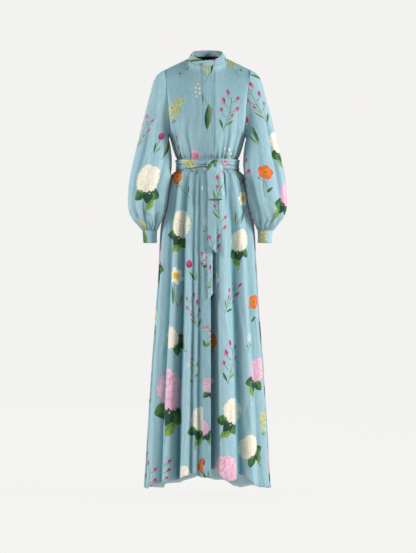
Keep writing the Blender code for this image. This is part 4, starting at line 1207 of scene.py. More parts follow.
# Every motif: how it is drawn, half its height on the cloth in metres, how wide its place is as
# a share of its height, and how often it comes.
Motif = namedtuple("Motif", "draw size width turns")
MOTIFS = [
    Motif(pink_head, 0.130, 0.62, 3),
    Motif(pink_head, 0.094, 0.62, 5),
    Motif(cream_head, 0.090, 0.62, 4),
    Motif(nodding_bells, 0.082, 0.52, 11),
    Motif(trumpet_flower, 0.076, 0.50, 6),
    Motif(poppy, 0.074, 0.52, 7),
    Motif(flamed_cup, 0.074, 0.38, 6),
    Motif(blade_leaf, 0.074, 0.30, 6),
    Motif(white_bells, 0.072, 0.44, 11),
    Motif(blossom_branch, 0.072, 0.98, 10),
    Motif(tendril, 0.070, 0.44, 22),
    Motif(yellow_spray, 0.066, 0.46, 20),
    Motif(bleeding_row, 0.066, 0.56, 14),
    Motif(pink_star, 0.058, 0.46, 16),
    Motif(cream_cup, 0.056, 0.38, 8),
    Motif(pink_head, 0.052, 0.62, 10),
    Motif(plum_cup, 0.048, 0.38, 18),
    Motif(small_blue, 0.046, 0.50, 12),
]

# How the motifs are scattered: the cell of the map that keeps them apart, the gap between two,
# the cloth around one that still belongs to it, how many tries each has to find a place, and the
# cloth for each. They vary in size, lean, and lie with at least a share of them on the piece.
PRINT_CELL = 0.004
PRINT_GAP = 0.002
PRINT_MARGIN = 0.006
PRINT_TRIES = 40
PRINT_AREA_EACH = 0.0056
PRINT_SIZES = (0.85, 1.1)
PRINT_LEAN = 22.0
PRINT_LEAST_ON = 0.3

face_twill = twill_group("twill face", GROUND_DARK, GROUND_LIGHT)
back_twill = twill_group("twill back", BACK_DARK, BACK_LIGHT)
plain_cloth = cloth_material("printed cloth", face_twill)
cloth_back = cloth_material("cloth back", back_twill)
motif_cloths = {}
for motif in MOTIFS:
    label = motif.draw.__name__.replace("_", " ")
    if motif.draw not in motif_cloths:
        motif_cloths[motif.draw] = cloth_material("cloth with " + label, face_twill, motif.draw)
motif_kinds = list(motif_cloths)
cloth_slots = [plain_cloth, *motif_cloths.values(), cloth_back]
motif_deal = [place for place, motif in enumerate(MOTIFS) for _ in range(motif.turns)]


def lay_print(piece, plan, seed, each=PRINT_AREA_EACH, largest=1.0):
    """Scatters the motifs over a piece's plan so that none overlap. Each face under a motif
    takes that motif's cloth, and the motif's own plane goes into a second UV map."""
    mesh = piece.data
    low = plan.reshape(-1, 2).min(axis=0)
    high = plan.reshape(-1, 2).max(axis=0)
    taken = np.zeros(np.ceil((high - low) / PRINT_CELL).astype(int) + 3, bool)
    where = np.zeros(len(mesh.loops) * 2)
    mesh.uv_layers["cloth"].data.foreach_get("uv", where)
    where = where.reshape(-1, 4, 2)
    slots = np.zeros(len(mesh.polygons), int)
    mesh.polygons.foreach_get("material_index", slots)
    drawn = np.zeros_like(where)
    draw = np.random.default_rng(seed)
    deal = [place for place in motif_deal if MOTIFS[place].size < largest]
    picks = np.sort(draw.choice(deal, int(np.prod(high - low) / each) + 1))
    waiting = [MOTIFS[place] for place in picks for _ in range(PRINT_TRIES)]
    done = 0
    for attempt, motif in enumerate(waiting):
        if attempt // PRINT_TRIES < done:
            continue
        middle = draw.uniform(low, high)
        size = motif.size * draw.uniform(*PRINT_SIZES)
        turn = np.radians(draw.normal(0.0, PRINT_LEAN))
        mirror = draw.choice([-1.0, 1.0])
        across = np.array([np.cos(turn), np.sin(turn)])
        up = np.array([-np.sin(turn), np.cos(turn)])
        half = size * motif.width + PRINT_GAP
        tall = size + PRINT_GAP
        grid_x, grid_y = np.meshgrid(
            np.arange(-half, half, PRINT_CELL / 2), np.arange(-tall, tall, PRINT_CELL / 2)
        )
        spots = middle + grid_x[..., None] * across + grid_y[..., None] * up
        spots = ((spots.reshape(-1, 2) - low) / PRINT_CELL).astype(int)
        spots = spots[((spots >= 0) & (spots < taken.shape)).all(axis=1)]
        if len(spots) < PRINT_LEAST_ON * grid_x.size or taken[spots[:, 0], spots[:, 1]].any():
            continue
        taken[spots[:, 0], spots[:, 1]] = True
        done = attempt // PRINT_TRIES + 1
        local = where - middle
        local = np.stack([local @ across, local @ up], axis=-1) / size
        margin = PRINT_MARGIN / size
        near = (np.abs(local).min(axis=1) < [motif.width + margin, 1.0 + margin]).all(axis=1)
        near &= slots == 0
        slots[near] = 1 + motif_kinds.index(motif.draw)
        local[..., 0] *= mirror
        drawn[near] = local[near]
    mesh.polygons.foreach_set("material_index", slots)
    mesh.uv_layers.new(name="motif").data.foreach_set("uv", drawn.ravel())
    mesh.update()


# The bodice's panels are laid out and sewn, and then the placket goes over the right front's edge.
BODY_MIDDLE = np.array([0.0, 0.0, -0.30])

bodice_panels = {}
for name, grid, stands_for, sewn_to, first_column, seed in (
    ("front_right_cloth", bodice_right, "bodice_front_right", "back_cloth", -1, 102),
    ("front_left_cloth", bodice_left, "bodice_front_left", "back_cloth", 0, 103),
    ("back_cloth", bodice_back, "bodice_back", "front_right_cloth", SIDE_STEPS * FINER, 104),
):
    normals = facing(grid, BODY_MIDDLE)
    plan = cloth_plan(grid, first_column=first_column)
    bodice_panels[name] = (grid, normals, plan)
    piece = sewn_panel(name, grid, normals, plan, cloth_slots)
    lay_print(piece, plan, seed, largest=0.12)
    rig.replaces(piece, stands_for)
    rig.slot(piece, "printed_cloth")
    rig.sheet(piece, held="gathered", rests_on=[sewn_to, "collar_cloth"], **cut(grid))


def sewn_placket(name, panel, columns, seed, **print_sizes):
    """The covered strip over the last columns of a right front: its piece, stitches and grid."""
    grid, normals, plan = (part[:, -columns:] for part in panel)
    grid = grid + (PLACKET_LIFT + PLACKET_WALL) * normals
    piece = sewn_panel(name + "_cloth", grid, normals, plan, cloth_slots, wall=PLACKET_WALL)
    lay_print(piece, plan, seed, **print_sizes)
    stitches = stitched(name + "_stitches", inset(grid, normals, ("start", "stop")))
    return piece, stitches, grid


piece, stitches, grid = sewn_placket(
    "front_placket", bodice_panels["front_right_cloth"], placket_columns, seed=111, largest=0.075
)
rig.replaces(piece, "bodice_placket")
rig.slot(piece, "printed_cloth")
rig.sheet(piece, held="laid", rests_on=["front_right_cloth"], with_pieces=[stitches], **cut(grid))


# The collar: a narrow stand of doubled, stiffened cloth round the neck, printed on both sides.
# Its ends meet at the placket and their top corners are rounded off.
CollarLevel = namedtuple("CollarLevel", "half_width front_y back_y rise front_dip back_rise")
COLLAR = [
    CollarLevel(0.0722, -0.0612, 0.0632, 0.0000, 0.0350, 0.0100),
    CollarLevel(0.0674, -0.0582, 0.0618, 0.0085, 0.0352, 0.0110),
    CollarLevel(0.0622, -0.0552, 0.0600, 0.0165, 0.0356, 0.0120),
    CollarLevel(0.0560, -0.0518, 0.0578, 0.0252, 0.0366, 0.0130),
]
COLLAR_COLUMNS = 193
COLLAR_SPACING = 0.0021
COLLAR_FINER = 8
COLLAR_HALF_WIDTH = 0.0600
COLLAR_OPENING_X = -0.0156
COLLAR_OPENING = 0.0012
COLLAR_CORNER = 0.0040
COLLAR_CORNER_LENGTH = 0.0110
COLLAR_WALL = 0.0014
COLLAR_SWELLS = (0.083, 0.051)
COLLAR_SWELL_REACH = 0.0004
# Small motifs, set close, for the collar and the cuffs.
SMALL_PRINT = {"each": 0.0025, "largest": 0.085}

opening = np.degrees(np.arcsin(COLLAR_OPENING / 2 / COLLAR_HALF_WIDTH))
meeting = np.degrees(np.arcsin(COLLAR_OPENING_X / COLLAR_HALF_WIDTH))
a = np.radians(np.linspace(meeting + opening, 360.0 + meeting - opening, COLLAR_COLUMNS))
rows = []
for level in COLLAR:
    front = np.cos(a) > 0
    x = level.half_width * np.sin(a)
    y = np.where(front, level.front_y, -level.back_y) * np.cos(a)
    z = NECK_SIDE_Z + level.rise - np.where(front, level.front_dip, level.back_rise) * np.cos(a)
    rows.append(np.stack([x, y, z], axis=-1))
grid = finer_rows(np.array(rows), COLLAR_FINER)
along = run_of(grid[-1])
from_end = np.minimum(along, along[-1] - along)
rounded = 1 - np.sqrt(np.clip(1 - (1 - np.clip(from_end / COLLAR_CORNER_LENGTH, 0, 1)) ** 2, 0, 1))
up = np.linspace(0, 1, len(grid))[:, None]
grid[..., 2] -= COLLAR_CORNER * rounded * up**2
spaced = np.arange(COLLAR_COLUMNS) * COLLAR_SPACING
swells = wander(spaced, up, seed=21, waves=COLLAR_SWELLS, reach=COLLAR_SWELL_REACH)
grid += level_out(grid) * swells[..., None]
normals = facing(grid, np.zeros(3))
plan = cloth_plan(grid, start=2.0)
piece = sewn_panel(
    "collar_cloth", grid, normals, plan, cloth_slots, wall=COLLAR_WALL, printed_in=True
)
lay_print(piece, plan, seed=112, **SMALL_PRINT)
stitches = stitched("collar_stitches", inset(grid, normals, ("top", "bottom")))
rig.replaces(piece, "collar")
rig.slot(piece, "printed_cloth")
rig.sheet(piece, held="folded", rests_on=["back_cloth"], with_pieces=[stitches], **cut(grid))


# The neck's painted shadow: a near-black strip with a ribbed look and no print, a dark sheet that stands for the shade
# inside the back of the neck. It is laid over the neck seam inside the back.
TapeLevel = namedtuple("TapeLevel", "rise half_width back_y")
NECK_SHADOW = [
    TapeLevel(0.0048, 0.0679, 0.0606),
    TapeLevel(0.0000, 0.0700, 0.0612),
    TapeLevel(-0.0130, 0.0702, 0.0616),
]
NECK_SHADOW_BEARINGS = (102.0, 258.0)
NECK_SHADOW_COLUMNS = 81
NECK_SHADOW_FINER = 6
NECK_SHADOW_WALL = 0.0006
# Near-black colours of the painted shadow strip.
NECK_SHADOW_DARK = (0.008, 0.009, 0.012, 1.0)
NECK_SHADOW_LIGHT = (0.016, 0.018, 0.023, 1.0)

a = np.radians(np.linspace(*NECK_SHADOW_BEARINGS, NECK_SHADOW_COLUMNS))
rows = []
for level in NECK_SHADOW:
    z = NECK_SIDE_Z + level.rise - NECK_BACK_RISE * np.cos(a)
    rows.append(np.stack([level.half_width * np.sin(a), -level.back_y * np.cos(a), z], axis=-1))
grid = finer_rows(np.array(rows), NECK_SHADOW_FINER)
normals = facing(grid, np.zeros(3))
plan = cloth_plan(grid, start=2.6)
neck_shadow_cloth = cloth_material("neck tape", twill_group("ribbed tape", NECK_SHADOW_DARK, NECK_SHADOW_LIGHT))
piece = sewn_panel("neck_tape", grid, normals, plan, [neck_shadow_cloth], wall=NECK_SHADOW_WALL)
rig.slot(piece, "printed_cloth")
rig.sheet(piece, held="laid", rests_on=["back_cloth", "collar_cloth"], **cut(grid))


# The sleeves: each one full piece, set in smooth at the armhole and swelling to a wide puff that
# is gathered tightly into the cuff. Long soft folds hang down it and crumple above the cuff.
CUFF_TOP_Z = -0.6320
CUFF_BOTTOM_Z = -0.6790
SleeveRing = namedtuple("SleeveRing", "outer_x outer_z inner_x inner_z half_depth forward")
SLEEVE = [
    SleeveRing(0.1740, -0.0370, 0.1430, -0.2830, 0.0560, 0.000),
    SleeveRing(0.1900, -0.0500, 0.1436, -0.2850, 0.0580, 0.000),
    SleeveRing(0.2040, -0.0780, 0.1440, -0.2870, 0.0600, 0.001),
    SleeveRing(0.2140, -0.1150, 0.1440, -0.2900, 0.0620, 0.002),
    SleeveRing(0.2270, -0.1620, 0.1430, -0.2950, 0.0640, 0.003),
    SleeveRing(0.2400, -0.2120, 0.1405, -0.3050, 0.0660, 0.005),
    SleeveRing(0.2530, -0.2680, 0.1370, -0.3270, 0.0680, 0.008),
    SleeveRing(0.2670, -0.3260, 0.1340, -0.3600, 0.0705, 0.012),
    SleeveRing(0.2810, -0.3820, 0.1345, -0.3990, 0.0735, 0.017),
    SleeveRing(0.2915, -0.4360, 0.1420, -0.4420, 0.0760, 0.022),
    SleeveRing(0.2975, -0.4900, 0.1500, -0.4900, 0.0770, 0.026),
    SleeveRing(0.2985, -0.5300, 0.1550, -0.5300, 0.0760, 0.029),
    SleeveRing(0.2920, -0.5620, 0.1620, -0.5610, 0.0700, 0.030),
    SleeveRing(0.2780, -0.5930, 0.1700, -0.5910, 0.0590, 0.030),
    SleeveRing(0.2580, -0.6160, 0.1790, -0.6150, 0.0460, 0.030),
    SleeveRing(0.2430, CUFF_TOP_Z, 0.1890, CUFF_TOP_Z, 0.0330, 0.030),
]
SLEEVE_COLUMNS = 160
SLEEVE_FINER = 8
SLEEVE_LEVELS = 300
SLEEVE_GAP = 0.0006
# Its inner side swells forward, so that it hangs a little in front of the skirt.
SLEEVE_BULGE = 0.0100
SLEEVE_BULGE_ANGLE = 157.0
SLEEVE_BULGE_WIDTH = 15.0
SLEEVE_BULGE_TOP_Z = -0.4000
# Folds by angle round the sleeve from its outer edge over the front, in degrees.
SleeveFold = namedtuple("SleeveFold", "angle reach width")
SLEEVE_FOLDS = [
    SleeveFold(14.0, -0.0034, 8.0),
    SleeveFold(35.0, 0.0040, 13.0),
    SleeveFold(55.0, -0.0056, 7.5),
    SleeveFold(74.0, 0.0048, 12.0),
    SleeveFold(93.0, -0.0044, 7.0),
    SleeveFold(110.0, 0.0050, 12.0),
    SleeveFold(130.0, -0.0064, 7.0),
    SleeveFold(146.0, 0.0045, 10.0),
    SleeveFold(164.0, -0.0060, 6.0),
    SleeveFold(196.0, -0.0050, 6.0),
    SleeveFold(215.0, 0.0045, 12.0),
    SleeveFold(234.0, -0.0060, 7.0),
    SleeveFold(252.0, 0.0050, 12.0),
    SleeveFold(271.0, -0.0048, 7.5),
    SleeveFold(290.0, 0.0050, 12.0),
    SleeveFold(309.0, -0.0058, 7.0),
    SleeveFold(327.0, 0.0040, 12.0),
    SleeveFold(347.0, -0.0040, 8.0),
]
# Each fold strays from its angle, sets in somewhere down the sleeve, and is strong or faint.
FOLD_STRAY = 5.0
FOLD_START = (0.10, 0.50)
FOLD_SET_IN = 0.40
FOLD_STRENGTH = (0.35, 1.20)
# The gathers above the cuff fan out and lean, each to its own height and depth.
GATHERS = 26
GATHER_STRAY = 4.5
GATHER_HEIGHT = (0.040, 0.165)
GATHER_WIDTH = (2.4, 3.8)
GATHER_SPREAD = 0.07
GATHER_LEAN = 120.0
GATHER_DEPTH = (0.0040, 0.0100)
CUFF_FULLNESS = 0.0024
# The cloth crumples just above the cuff and swells a little elsewhere. Angles become metres of
# cloth for both, and the crumples are squashed together downwards.
CRUMPLES = (0.052, 0.037, 0.027)
CRUMPLE_REACH = 0.0042
CRUMPLE_SQUASH = 6.0
CRUMPLE_CLOTH = 0.0011
SLEEVE_SWELLS = (0.063, 0.041, 0.029)
SLEEVE_SWELL_REACH = 0.0013
SLEEVE_SWELL_CLOTH = 0.0012


def sleeve_rings(angles):
    """The armhole and each ring of the sleeve, by angle in degrees, and their middles."""
    a = np.radians(angles)[:, None]
    rows = [armhole(angles) + np.array([SLEEVE_GAP, 0.0, 0.0])]
    middles = [rows[0].mean(axis=0)]
    for ring in SLEEVE:
        outer = np.array([ring.outer_x, 0.0, ring.outer_z])
        inner = np.array([ring.inner_x, 0.0, ring.inner_z])
        middle = (outer + inner) / 2 - np.array([0.0, ring.forward, 0.0])
        half = (outer - inner) / 2
        ahead = np.array([0.0, -ring.half_depth, 0.0])
        rows.append(middle + np.cos(a) * half + np.sin(a) * ahead)
        middles.append(middle)
    return np.array(rows), np.array(middles)


def sleeve_folds(angles, share, to_cuff, seed):
    """How far the cloth stands out in the long folds, and lies in between the gathers."""
    draw = np.random.default_rng(seed)
    # All the folds drift a little to one side and the other as they hang.
    drift = 5.0 * np.sin(share * 7.0 + seed) + 2.5 * np.sin(share * 17.0 + 2.0 * seed)
    offset = np.zeros(to_cuff.shape)
    for fold in SLEEVE_FOLDS:
        turn = fold.angle + draw.uniform(-FOLD_STRAY, FOLD_STRAY) + drift
        start = draw.uniform(*FOLD_START)
        strength = ease((share - start) / FOLD_SET_IN) * draw.uniform(*FOLD_STRENGTH)
        offset += strength * fold.reach * bell(round_gap(angles, turn), fold.width)
    # They flatten just above the cuff, where the gathers take over.
    offset = offset * (0.35 + 0.65 * ease(to_cuff / 0.05))
    for gather in range(GATHERS):
        turn = gather * 360.0 / GATHERS + draw.uniform(-GATHER_STRAY, GATHER_STRAY)
        height = draw.uniform(*GATHER_HEIGHT)
        width = draw.uniform(*GATHER_WIDTH) * (1 + to_cuff / GATHER_SPREAD)
        lean = draw.uniform(-GATHER_LEAN, GATHER_LEAN) * to_cuff
        depth = draw.uniform(*GATHER_DEPTH)
        offset -= depth * bell(round_gap(angles - turn, lean), width) * (1 - ease(to_cuff / height))
    return offset


def sleeve_grid(seed):
    """Outer points of the left sleeve, from the armhole down."""
    angles = 180.0 + np.arange(SLEEVE_COLUMNS) * 360.0 / SLEEVE_COLUMNS
    rows, middles = sleeve_rings(angles)
    knots = row_places(rows)
    places = between(knots, SLEEVE_FINER)
    grid = through(places, knots, rows)
    out = unit(grid - through(places, knots, middles)[:, None])
    share = (between(np.arange(len(rows)), SLEEVE_FINER) / len(SLEEVE))[:, None]
    to_cuff = np.maximum(grid[..., 2] - CUFF_TOP_Z, 0.0)
    offset = sleeve_folds(angles, share, to_cuff, seed)
    offset += CUFF_FULLNESS * (1 - ease(to_cuff / 0.03))
    crumple = ease((share - 0.55) / 0.2) * ease(to_cuff / 0.02) * (1 - ease((to_cuff - 0.05) / 0.09))
    around, down = angles * CRUMPLE_CLOTH, to_cuff * CRUMPLE_SQUASH
    offset += crumple * wander(around, down, seed + 7, CRUMPLES, CRUMPLE_REACH)
    around, down = angles * SLEEVE_SWELL_CLOTH, -grid[..., 2]
    swells = wander(around, down, seed + 9, SLEEVE_SWELLS, SLEEVE_SWELL_REACH)
    offset += ease((share - 0.04) / 0.1) * swells
    low = ease((SLEEVE_BULGE_TOP_Z - grid[..., 2]) / 0.030) * ease(to_cuff / 0.040)
    grid = grid + out * offset[..., None]
    inner = bell(round_gap(angles, SLEEVE_BULGE_ANGLE), SLEEVE_BULGE_WIDTH)
    grid[..., 0] -= SLEEVE_BULGE * low * inner
    return grid


def sleeve_plan(grid, start):
    """The sleeve's flat place: how far down its outer line, and how far round at that height."""
    grid = joined_up(grid)
    middle = SLEEVE_COLUMNS // 2
    levels = np.linspace(grid[..., 2].min(), grid[..., 2].max(), SLEEVE_LEVELS)
    climbs = np.maximum.accumulate(grid[::-1, :, 2], axis=0)
    ring = np.zeros((len(levels), grid.shape[1], 2))
    for column in range(grid.shape[1]):
        for axis in (0, 1):
            ring[:, column, axis] = np.interp(levels, climbs[:, column], grid[::-1, column, axis])
    around = run_of(ring, 1)
    around = around - around[:, [middle]]
    level = [np.interp(grid[:, c, 2], levels, around[:, c]) for c in range(grid.shape[1])]
    line = grid[:, middle]
    up = -np.interp(-grid[..., 2], -line[:, 2], run_of(line))
    return np.stack([start + np.stack(level, axis=1), up], axis=-1)


for side, sign, seed in (("left", 1.0, 11), ("right", -1.0, 12)):
    grid = sleeve_grid(seed)
    middles = grid.mean(axis=1, keepdims=True)
    normals = facing(grid, middles, closed=True)
    normals[-1] = level_out(grid[-1] - middles[-1])
    flip = np.array([sign, 1.0, 1.0])
    plan = sleeve_plan(grid, 3.0 + sign)
    piece = sewn_panel(
        "sleeve_cloth_" + side, grid * flip, normals * flip, plan, cloth_slots, closed=True
    )
    lay_print(piece, plan, 120 + seed, each=0.0037, largest=0.10)
    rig.replaces(piece, "sleeve_" + side)
    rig.slot(piece, "printed_cloth")
    sewn_to = ["front_" + side + "_cloth", "back_cloth", "cuff_cloth_" + side]
    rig.sheet(piece, held="gathered", rests_on=sewn_to, **cut(grid, closed=True))


# The cuffs: a deep band of doubled cloth on each gathered sleeve end, narrowing a little towards
# the hand, with a row of stitches along both edges.
CuffRing = namedtuple("CuffRing", "z middle_x half_width half_depth")
CUFF = [
    CuffRing(CUFF_TOP_Z + 0.0006, 0.2155, 0.0272, 0.0332),
    CuffRing(CUFF_TOP_Z - 0.0012, 0.2155, 0.0277, 0.0337),
    CuffRing(-0.6480, 0.2152, 0.0269, 0.0331),
    CuffRing(-0.6640, 0.2146, 0.0261, 0.0323),
    CuffRing(CUFF_BOTTOM_Z + 0.0012, 0.2140, 0.0257, 0.0317),
    CuffRing(CUFF_BOTTOM_Z, 0.2140, 0.0253, 0.0313),
]
CUFF_FORWARD = 0.030
CUFF_COLUMNS = 120
CUFF_FINER = 5
CUFF_WALL = 0.0014
CUFF_STITCH_INSET = 0.0030

for side, sign, seed in (("left", 1.0, 31), ("right", -1.0, 32)):
    a = np.arange(CUFF_COLUMNS) * 2 * np.pi / CUFF_COLUMNS
    rows = []
    for ring in CUFF:
        x = ring.middle_x + ring.half_width * np.cos(a)
        y = -CUFF_FORWARD - ring.half_depth * np.sin(a)
        rows.append(np.stack([x, y, np.full(len(a), ring.z)], axis=-1))
    grid = finer_rows(np.array(rows), CUFF_FINER)
    middles = grid.mean(axis=1, keepdims=True)
    # The band isn't quite round.
    swell = 0.0005 * np.sin(3 * a + seed) + 0.0003 * np.sin(7 * a + 2 * seed)
    grid = grid + unit(grid - middles) * swell[None, :, None]
    normals = facing(grid, middles, closed=True)
    flip = np.array([sign, 1.0, 1.0])
    plan = cloth_plan(grid, closed=True, start=5.0 + sign)
    piece = sewn_panel(
        "cuff_cloth_" + side, grid * flip, normals * flip, plan, cloth_slots, closed=True, wall=CUFF_WALL
    )
    lay_print(piece, plan, 120 + seed, **SMALL_PRINT)
    edges = inset(grid, normals, ("top", "bottom"), CUFF_STITCH_INSET)
    stitches = stitched("cuff_stitches_" + side, [edge * flip for edge in edges], closed=True)
    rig.replaces(piece, "cuff_" + side)
    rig.slot(piece, "printed_cloth")
    sewn_to = ["sleeve_cloth_" + side]
    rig.sheet(piece, held="folded", rests_on=sewn_to, with_pieces=[stitches], **cut(grid, closed=True))


# The skirt: two flared fronts and a flared back, gathered into the waist seam. The right front
# laps over the left one down to the hem, and the cloth hangs in long folds, deeper at the hem.
HEM_Z = -1.5960
SkirtLevel = namedtuple("SkirtLevel", "drop half_width front back")
SKIRT = [
    SkirtLevel(0.0000, 0.1135, 0.0880, 0.0840),
    SkirtLevel(0.0180, 0.1165, 0.0905, 0.0870),
    SkirtLevel(0.0280, 0.1270, 0.0975, 0.0950),
    SkirtLevel(0.0400, 0.1375, 0.1035, 0.1025),
    SkirtLevel(0.0680, 0.1430, 0.1115, 0.1140),
    SkirtLevel(0.0980, 0.1500, 0.1175, 0.1230),
    SkirtLevel(0.1560, 0.1575, 0.1250, 0.1340),
    SkirtLevel(0.1930, 0.1665, 0.1295, 0.1405),
    SkirtLevel(0.2350, 0.1755, 0.1335, 0.1455),
    SkirtLevel(0.4000, 0.1840, 0.1450, 0.1590),
    SkirtLevel(0.5350, 0.1930, 0.1540, 0.1700),
    SkirtLevel(0.8000, 0.2130, 0.1730, 0.1930),
    SkirtLevel(1.2090, 0.2370, 0.2030, 0.2300),
]
SkirtFold = namedtuple("SkirtFold", "bearing reach hem_rise")
RIGHT_FRONT_FOLDS = [
    SkirtFold(-90.0, 0.000, 0.002),
    SkirtFold(-79.0, -0.007, 0.002),
    SkirtFold(-65.5, 0.010, 0.010),
    SkirtFold(-51.5, -0.012, 0.034),
    SkirtFold(-39.0, 0.014, 0.041),
    SkirtFold(-30.5, -0.018, 0.049),
    SkirtFold(-21.0, 0.010, 0.064),
    SkirtFold(-15.8, -0.004, 0.070),
    SkirtFold(-12.4, 0.003, 0.074),
    SkirtFold(-8.8, -0.004, 0.064),
    SkirtFold(-4.6, 0.004, 0.060),
    SkirtFold(3.0, 0.003, 0.060),
]
LEFT_FRONT_FOLDS = [
    SkirtFold(-4.6, -0.030, 0.080),
    SkirtFold(6.0, -0.026, 0.087),
    SkirtFold(17.5, 0.014, 0.048),
    SkirtFold(24.0, 0.009, 0.046),
    SkirtFold(32.0, -0.013, 0.068),
    SkirtFold(44.5, 0.013, 0.026),
    SkirtFold(56.0, 0.001, 0.015),
    SkirtFold(68.0, 0.010, 0.010),
    SkirtFold(79.0, -0.007, 0.003),
    SkirtFold(90.0, 0.000, 0.002),
]
BACK_FOLDS = [
    SkirtFold(90.0, 0.000, 0.002),
    SkirtFold(101.0, -0.007, 0.002),
    SkirtFold(113.0, 0.012, 0.000),
    SkirtFold(126.0, -0.013, -0.004),
    SkirtFold(137.0, 0.014, -0.010),
    SkirtFold(146.0, -0.010, -0.018),
    SkirtFold(155.0, 0.013, -0.018),
    SkirtFold(163.5, -0.013, 0.008),
    SkirtFold(171.5, 0.013, 0.003),
    SkirtFold(179.0, -0.010, 0.014),
    SkirtFold(186.0, 0.011, 0.024),
    SkirtFold(192.5, -0.012, 0.018),
    SkirtFold(200.0, 0.014, 0.004),
    SkirtFold(209.0, -0.014, 0.000),
    SkirtFold(219.0, 0.014, -0.006),
    SkirtFold(231.0, -0.013, -0.014),
    SkirtFold(245.0, 0.012, -0.008),
    SkirtFold(258.0, -0.007, -0.002),
    SkirtFold(270.0, 0.000, 0.002),
]
# How much of the hem's folds there is at each share of the way down.
FOLD_SHARE_DOWN = [0.0, 0.03, 0.11, 0.40, 1.0]
FOLD_SHARE = [0.0, 0.13, 0.36, 0.72, 1.0]
SKIRT_ROWS = 150
SKIRT_ROW_POWER = 1.25
# Each valley between the folds closes to a narrow crease at its bottom.
VALLEY_FROM = -0.003
VALLEY_DEPTH = 0.62
VALLEY_LEAST = 0.005
VALLEY_WIDTH = 3.1
SKIRT_SWELLS = (0.060, 0.043, 0.031, 0.022)
SKIRT_SWELL_CLOTH = 0.0035
HEM_STITCH_INSET = 0.0090
# Small gathers under the waist seam, by bearing at the waist.
SKIRT_CREASES = [
    Crease(bearing + 2.2 * np.sin(bearing * 1.7), reach, 1.9 + 0.7 * np.sin(bearing), tall)
    for bearing, reach, tall in zip(
        np.arange(-84.0, 270.0, 7.4),
        np.tile([-0.0030, -0.0019, -0.0036, -0.0024, -0.0032, -0.0016, -0.0028], 7),
        np.tile([0.110, 0.070, 0.150, 0.085, 0.125, 0.060, 0.100, 0.170], 6),
    )
    if abs(bearing) > 11.0 and abs(bearing - 26.0) > 4.0
]
SKIRT_CREASES.append(Crease(26.0, -0.0110, 1.9, 0.250))
# Columns that keep a place of their own: a side seam keeps its bearing all the way down, and a
# front edge keeps its x.
Anchor = namedtuple("Anchor", "hem_bearing x")
RIGHT_SEAM = Anchor(-90.0, None)
PLACKET_EDGE = Anchor(-4.6, PLACKET_LEFT_X)
FRONT_EDGE = Anchor(3.0, FRONT_EDGE_X)
LEFT_SEAM = Anchor(90.0, None)
RIGHT_SEAM_BEHIND = Anchor(270.0, None)
SKIRT_PLACKET_STEPS = 18
SKIRT_LAP_STEPS = 12
SKIRT_RIGHT_STEPS = 114
SKIRT_LEFT_STEPS = 120
SKIRT_BACK_STEPS = 260


def field(table, name):
    """One named column of a table, as an array."""
    return np.array([getattr(row, name) for row in table])


def glide(at, knots, values):
    """Smooth curve through numbers at knots that never swings past them."""
    knots = np.asarray(knots, float)
    values = np.asarray(values, float)
    slope = np.diff(values) / np.diff(knots)
    slopes = np.zeros(len(knots))
    slopes[0] = slope[0]
    slopes[-1] = slope[-1]
    before = slope[:-1]
    after = slope[1:]
    same_way = before * after > 0
    total = np.where(same_way, before + after, 1.0)
    slopes[1:-1] = np.where(same_way, 2 * before * after / total, 0.0)
    return curve(at, knots, values, slopes)


def turned_folds(folds, by):
    """The same folds a turn away, so that a panel's folds run on past its seams."""
    return [SkirtFold(fold.bearing + by, fold.reach, fold.hem_rise) for fold in folds]


def skirt_grid(anchors, steps, folds, seed, lapped=False):
    """Grid of outer points of a skirt panel, with so many steps from each anchor to the next."""
    hem = field(anchors, "hem_bearing")
    spans = zip(hem[:-1], hem[1:], steps)
    columns = [np.linspace(start, stop, count + 1)[1:] for start, stop, count in spans]
    columns = np.concatenate([hem[:1], *columns])
    knots = field(folds, "bearing")
    reach = glide(columns, knots, field(folds, "reach"))
    rise = glide(columns, knots, field(folds, "hem_rise"))
    for fold in folds:
        if fold.reach < VALLEY_FROM:
            depth = max(VALLEY_DEPTH * -fold.reach, VALLEY_LEAST)
            reach = reach - depth * bell(columns - fold.bearing, VALLEY_WIDTH)
    drops = field(SKIRT, "drop")
    rows = []
    for share in np.linspace(0, 1, SKIRT_ROWS) ** SKIRT_ROW_POWER:
        drop = share * (WAIST_Z - HEM_Z)
        half_width, front, back = (
            glide(drop, drops, field(SKIRT, part)) for part in SkirtLevel._fields[1:]
        )
        places = [
            anchor.hem_bearing if anchor.x is None else np.degrees(np.arcsin(anchor.x / half_width))
            for anchor in anchors
        ]
        bearings = np.interp(columns, hem, places)
        a = np.radians(bearings)
        depth = np.where(np.cos(a) > 0, front, back)
        row = np.stack([half_width * np.sin(a), -depth * np.cos(a), np.zeros(len(a))], axis=-1)
        normal = unit(np.stack([np.sin(a) / half_width, -np.cos(a) / depth, np.zeros(len(a))], axis=-1))
        offset = reach * glide(share, FOLD_SHARE_DOWN, FOLD_SHARE)
        offset = offset + creases_from_waist(SKIRT_CREASES, bearings, drop, start=0.010)
        swell = ease((drop - 0.03) / 0.12) * (0.0020 + 0.0016 * share)
        offset = offset + wander(bearings * SKIRT_SWELL_CLOTH, drop, seed, SKIRT_SWELLS, 1.0) * swell
        if lapped:
            offset = offset + lap_in(row[:, 0])
        row = row + normal * offset[:, None]
        row[:, 2] = WAIST_Z - drop + rise * share**3
        rows.append(row)
    return np.array(rows)


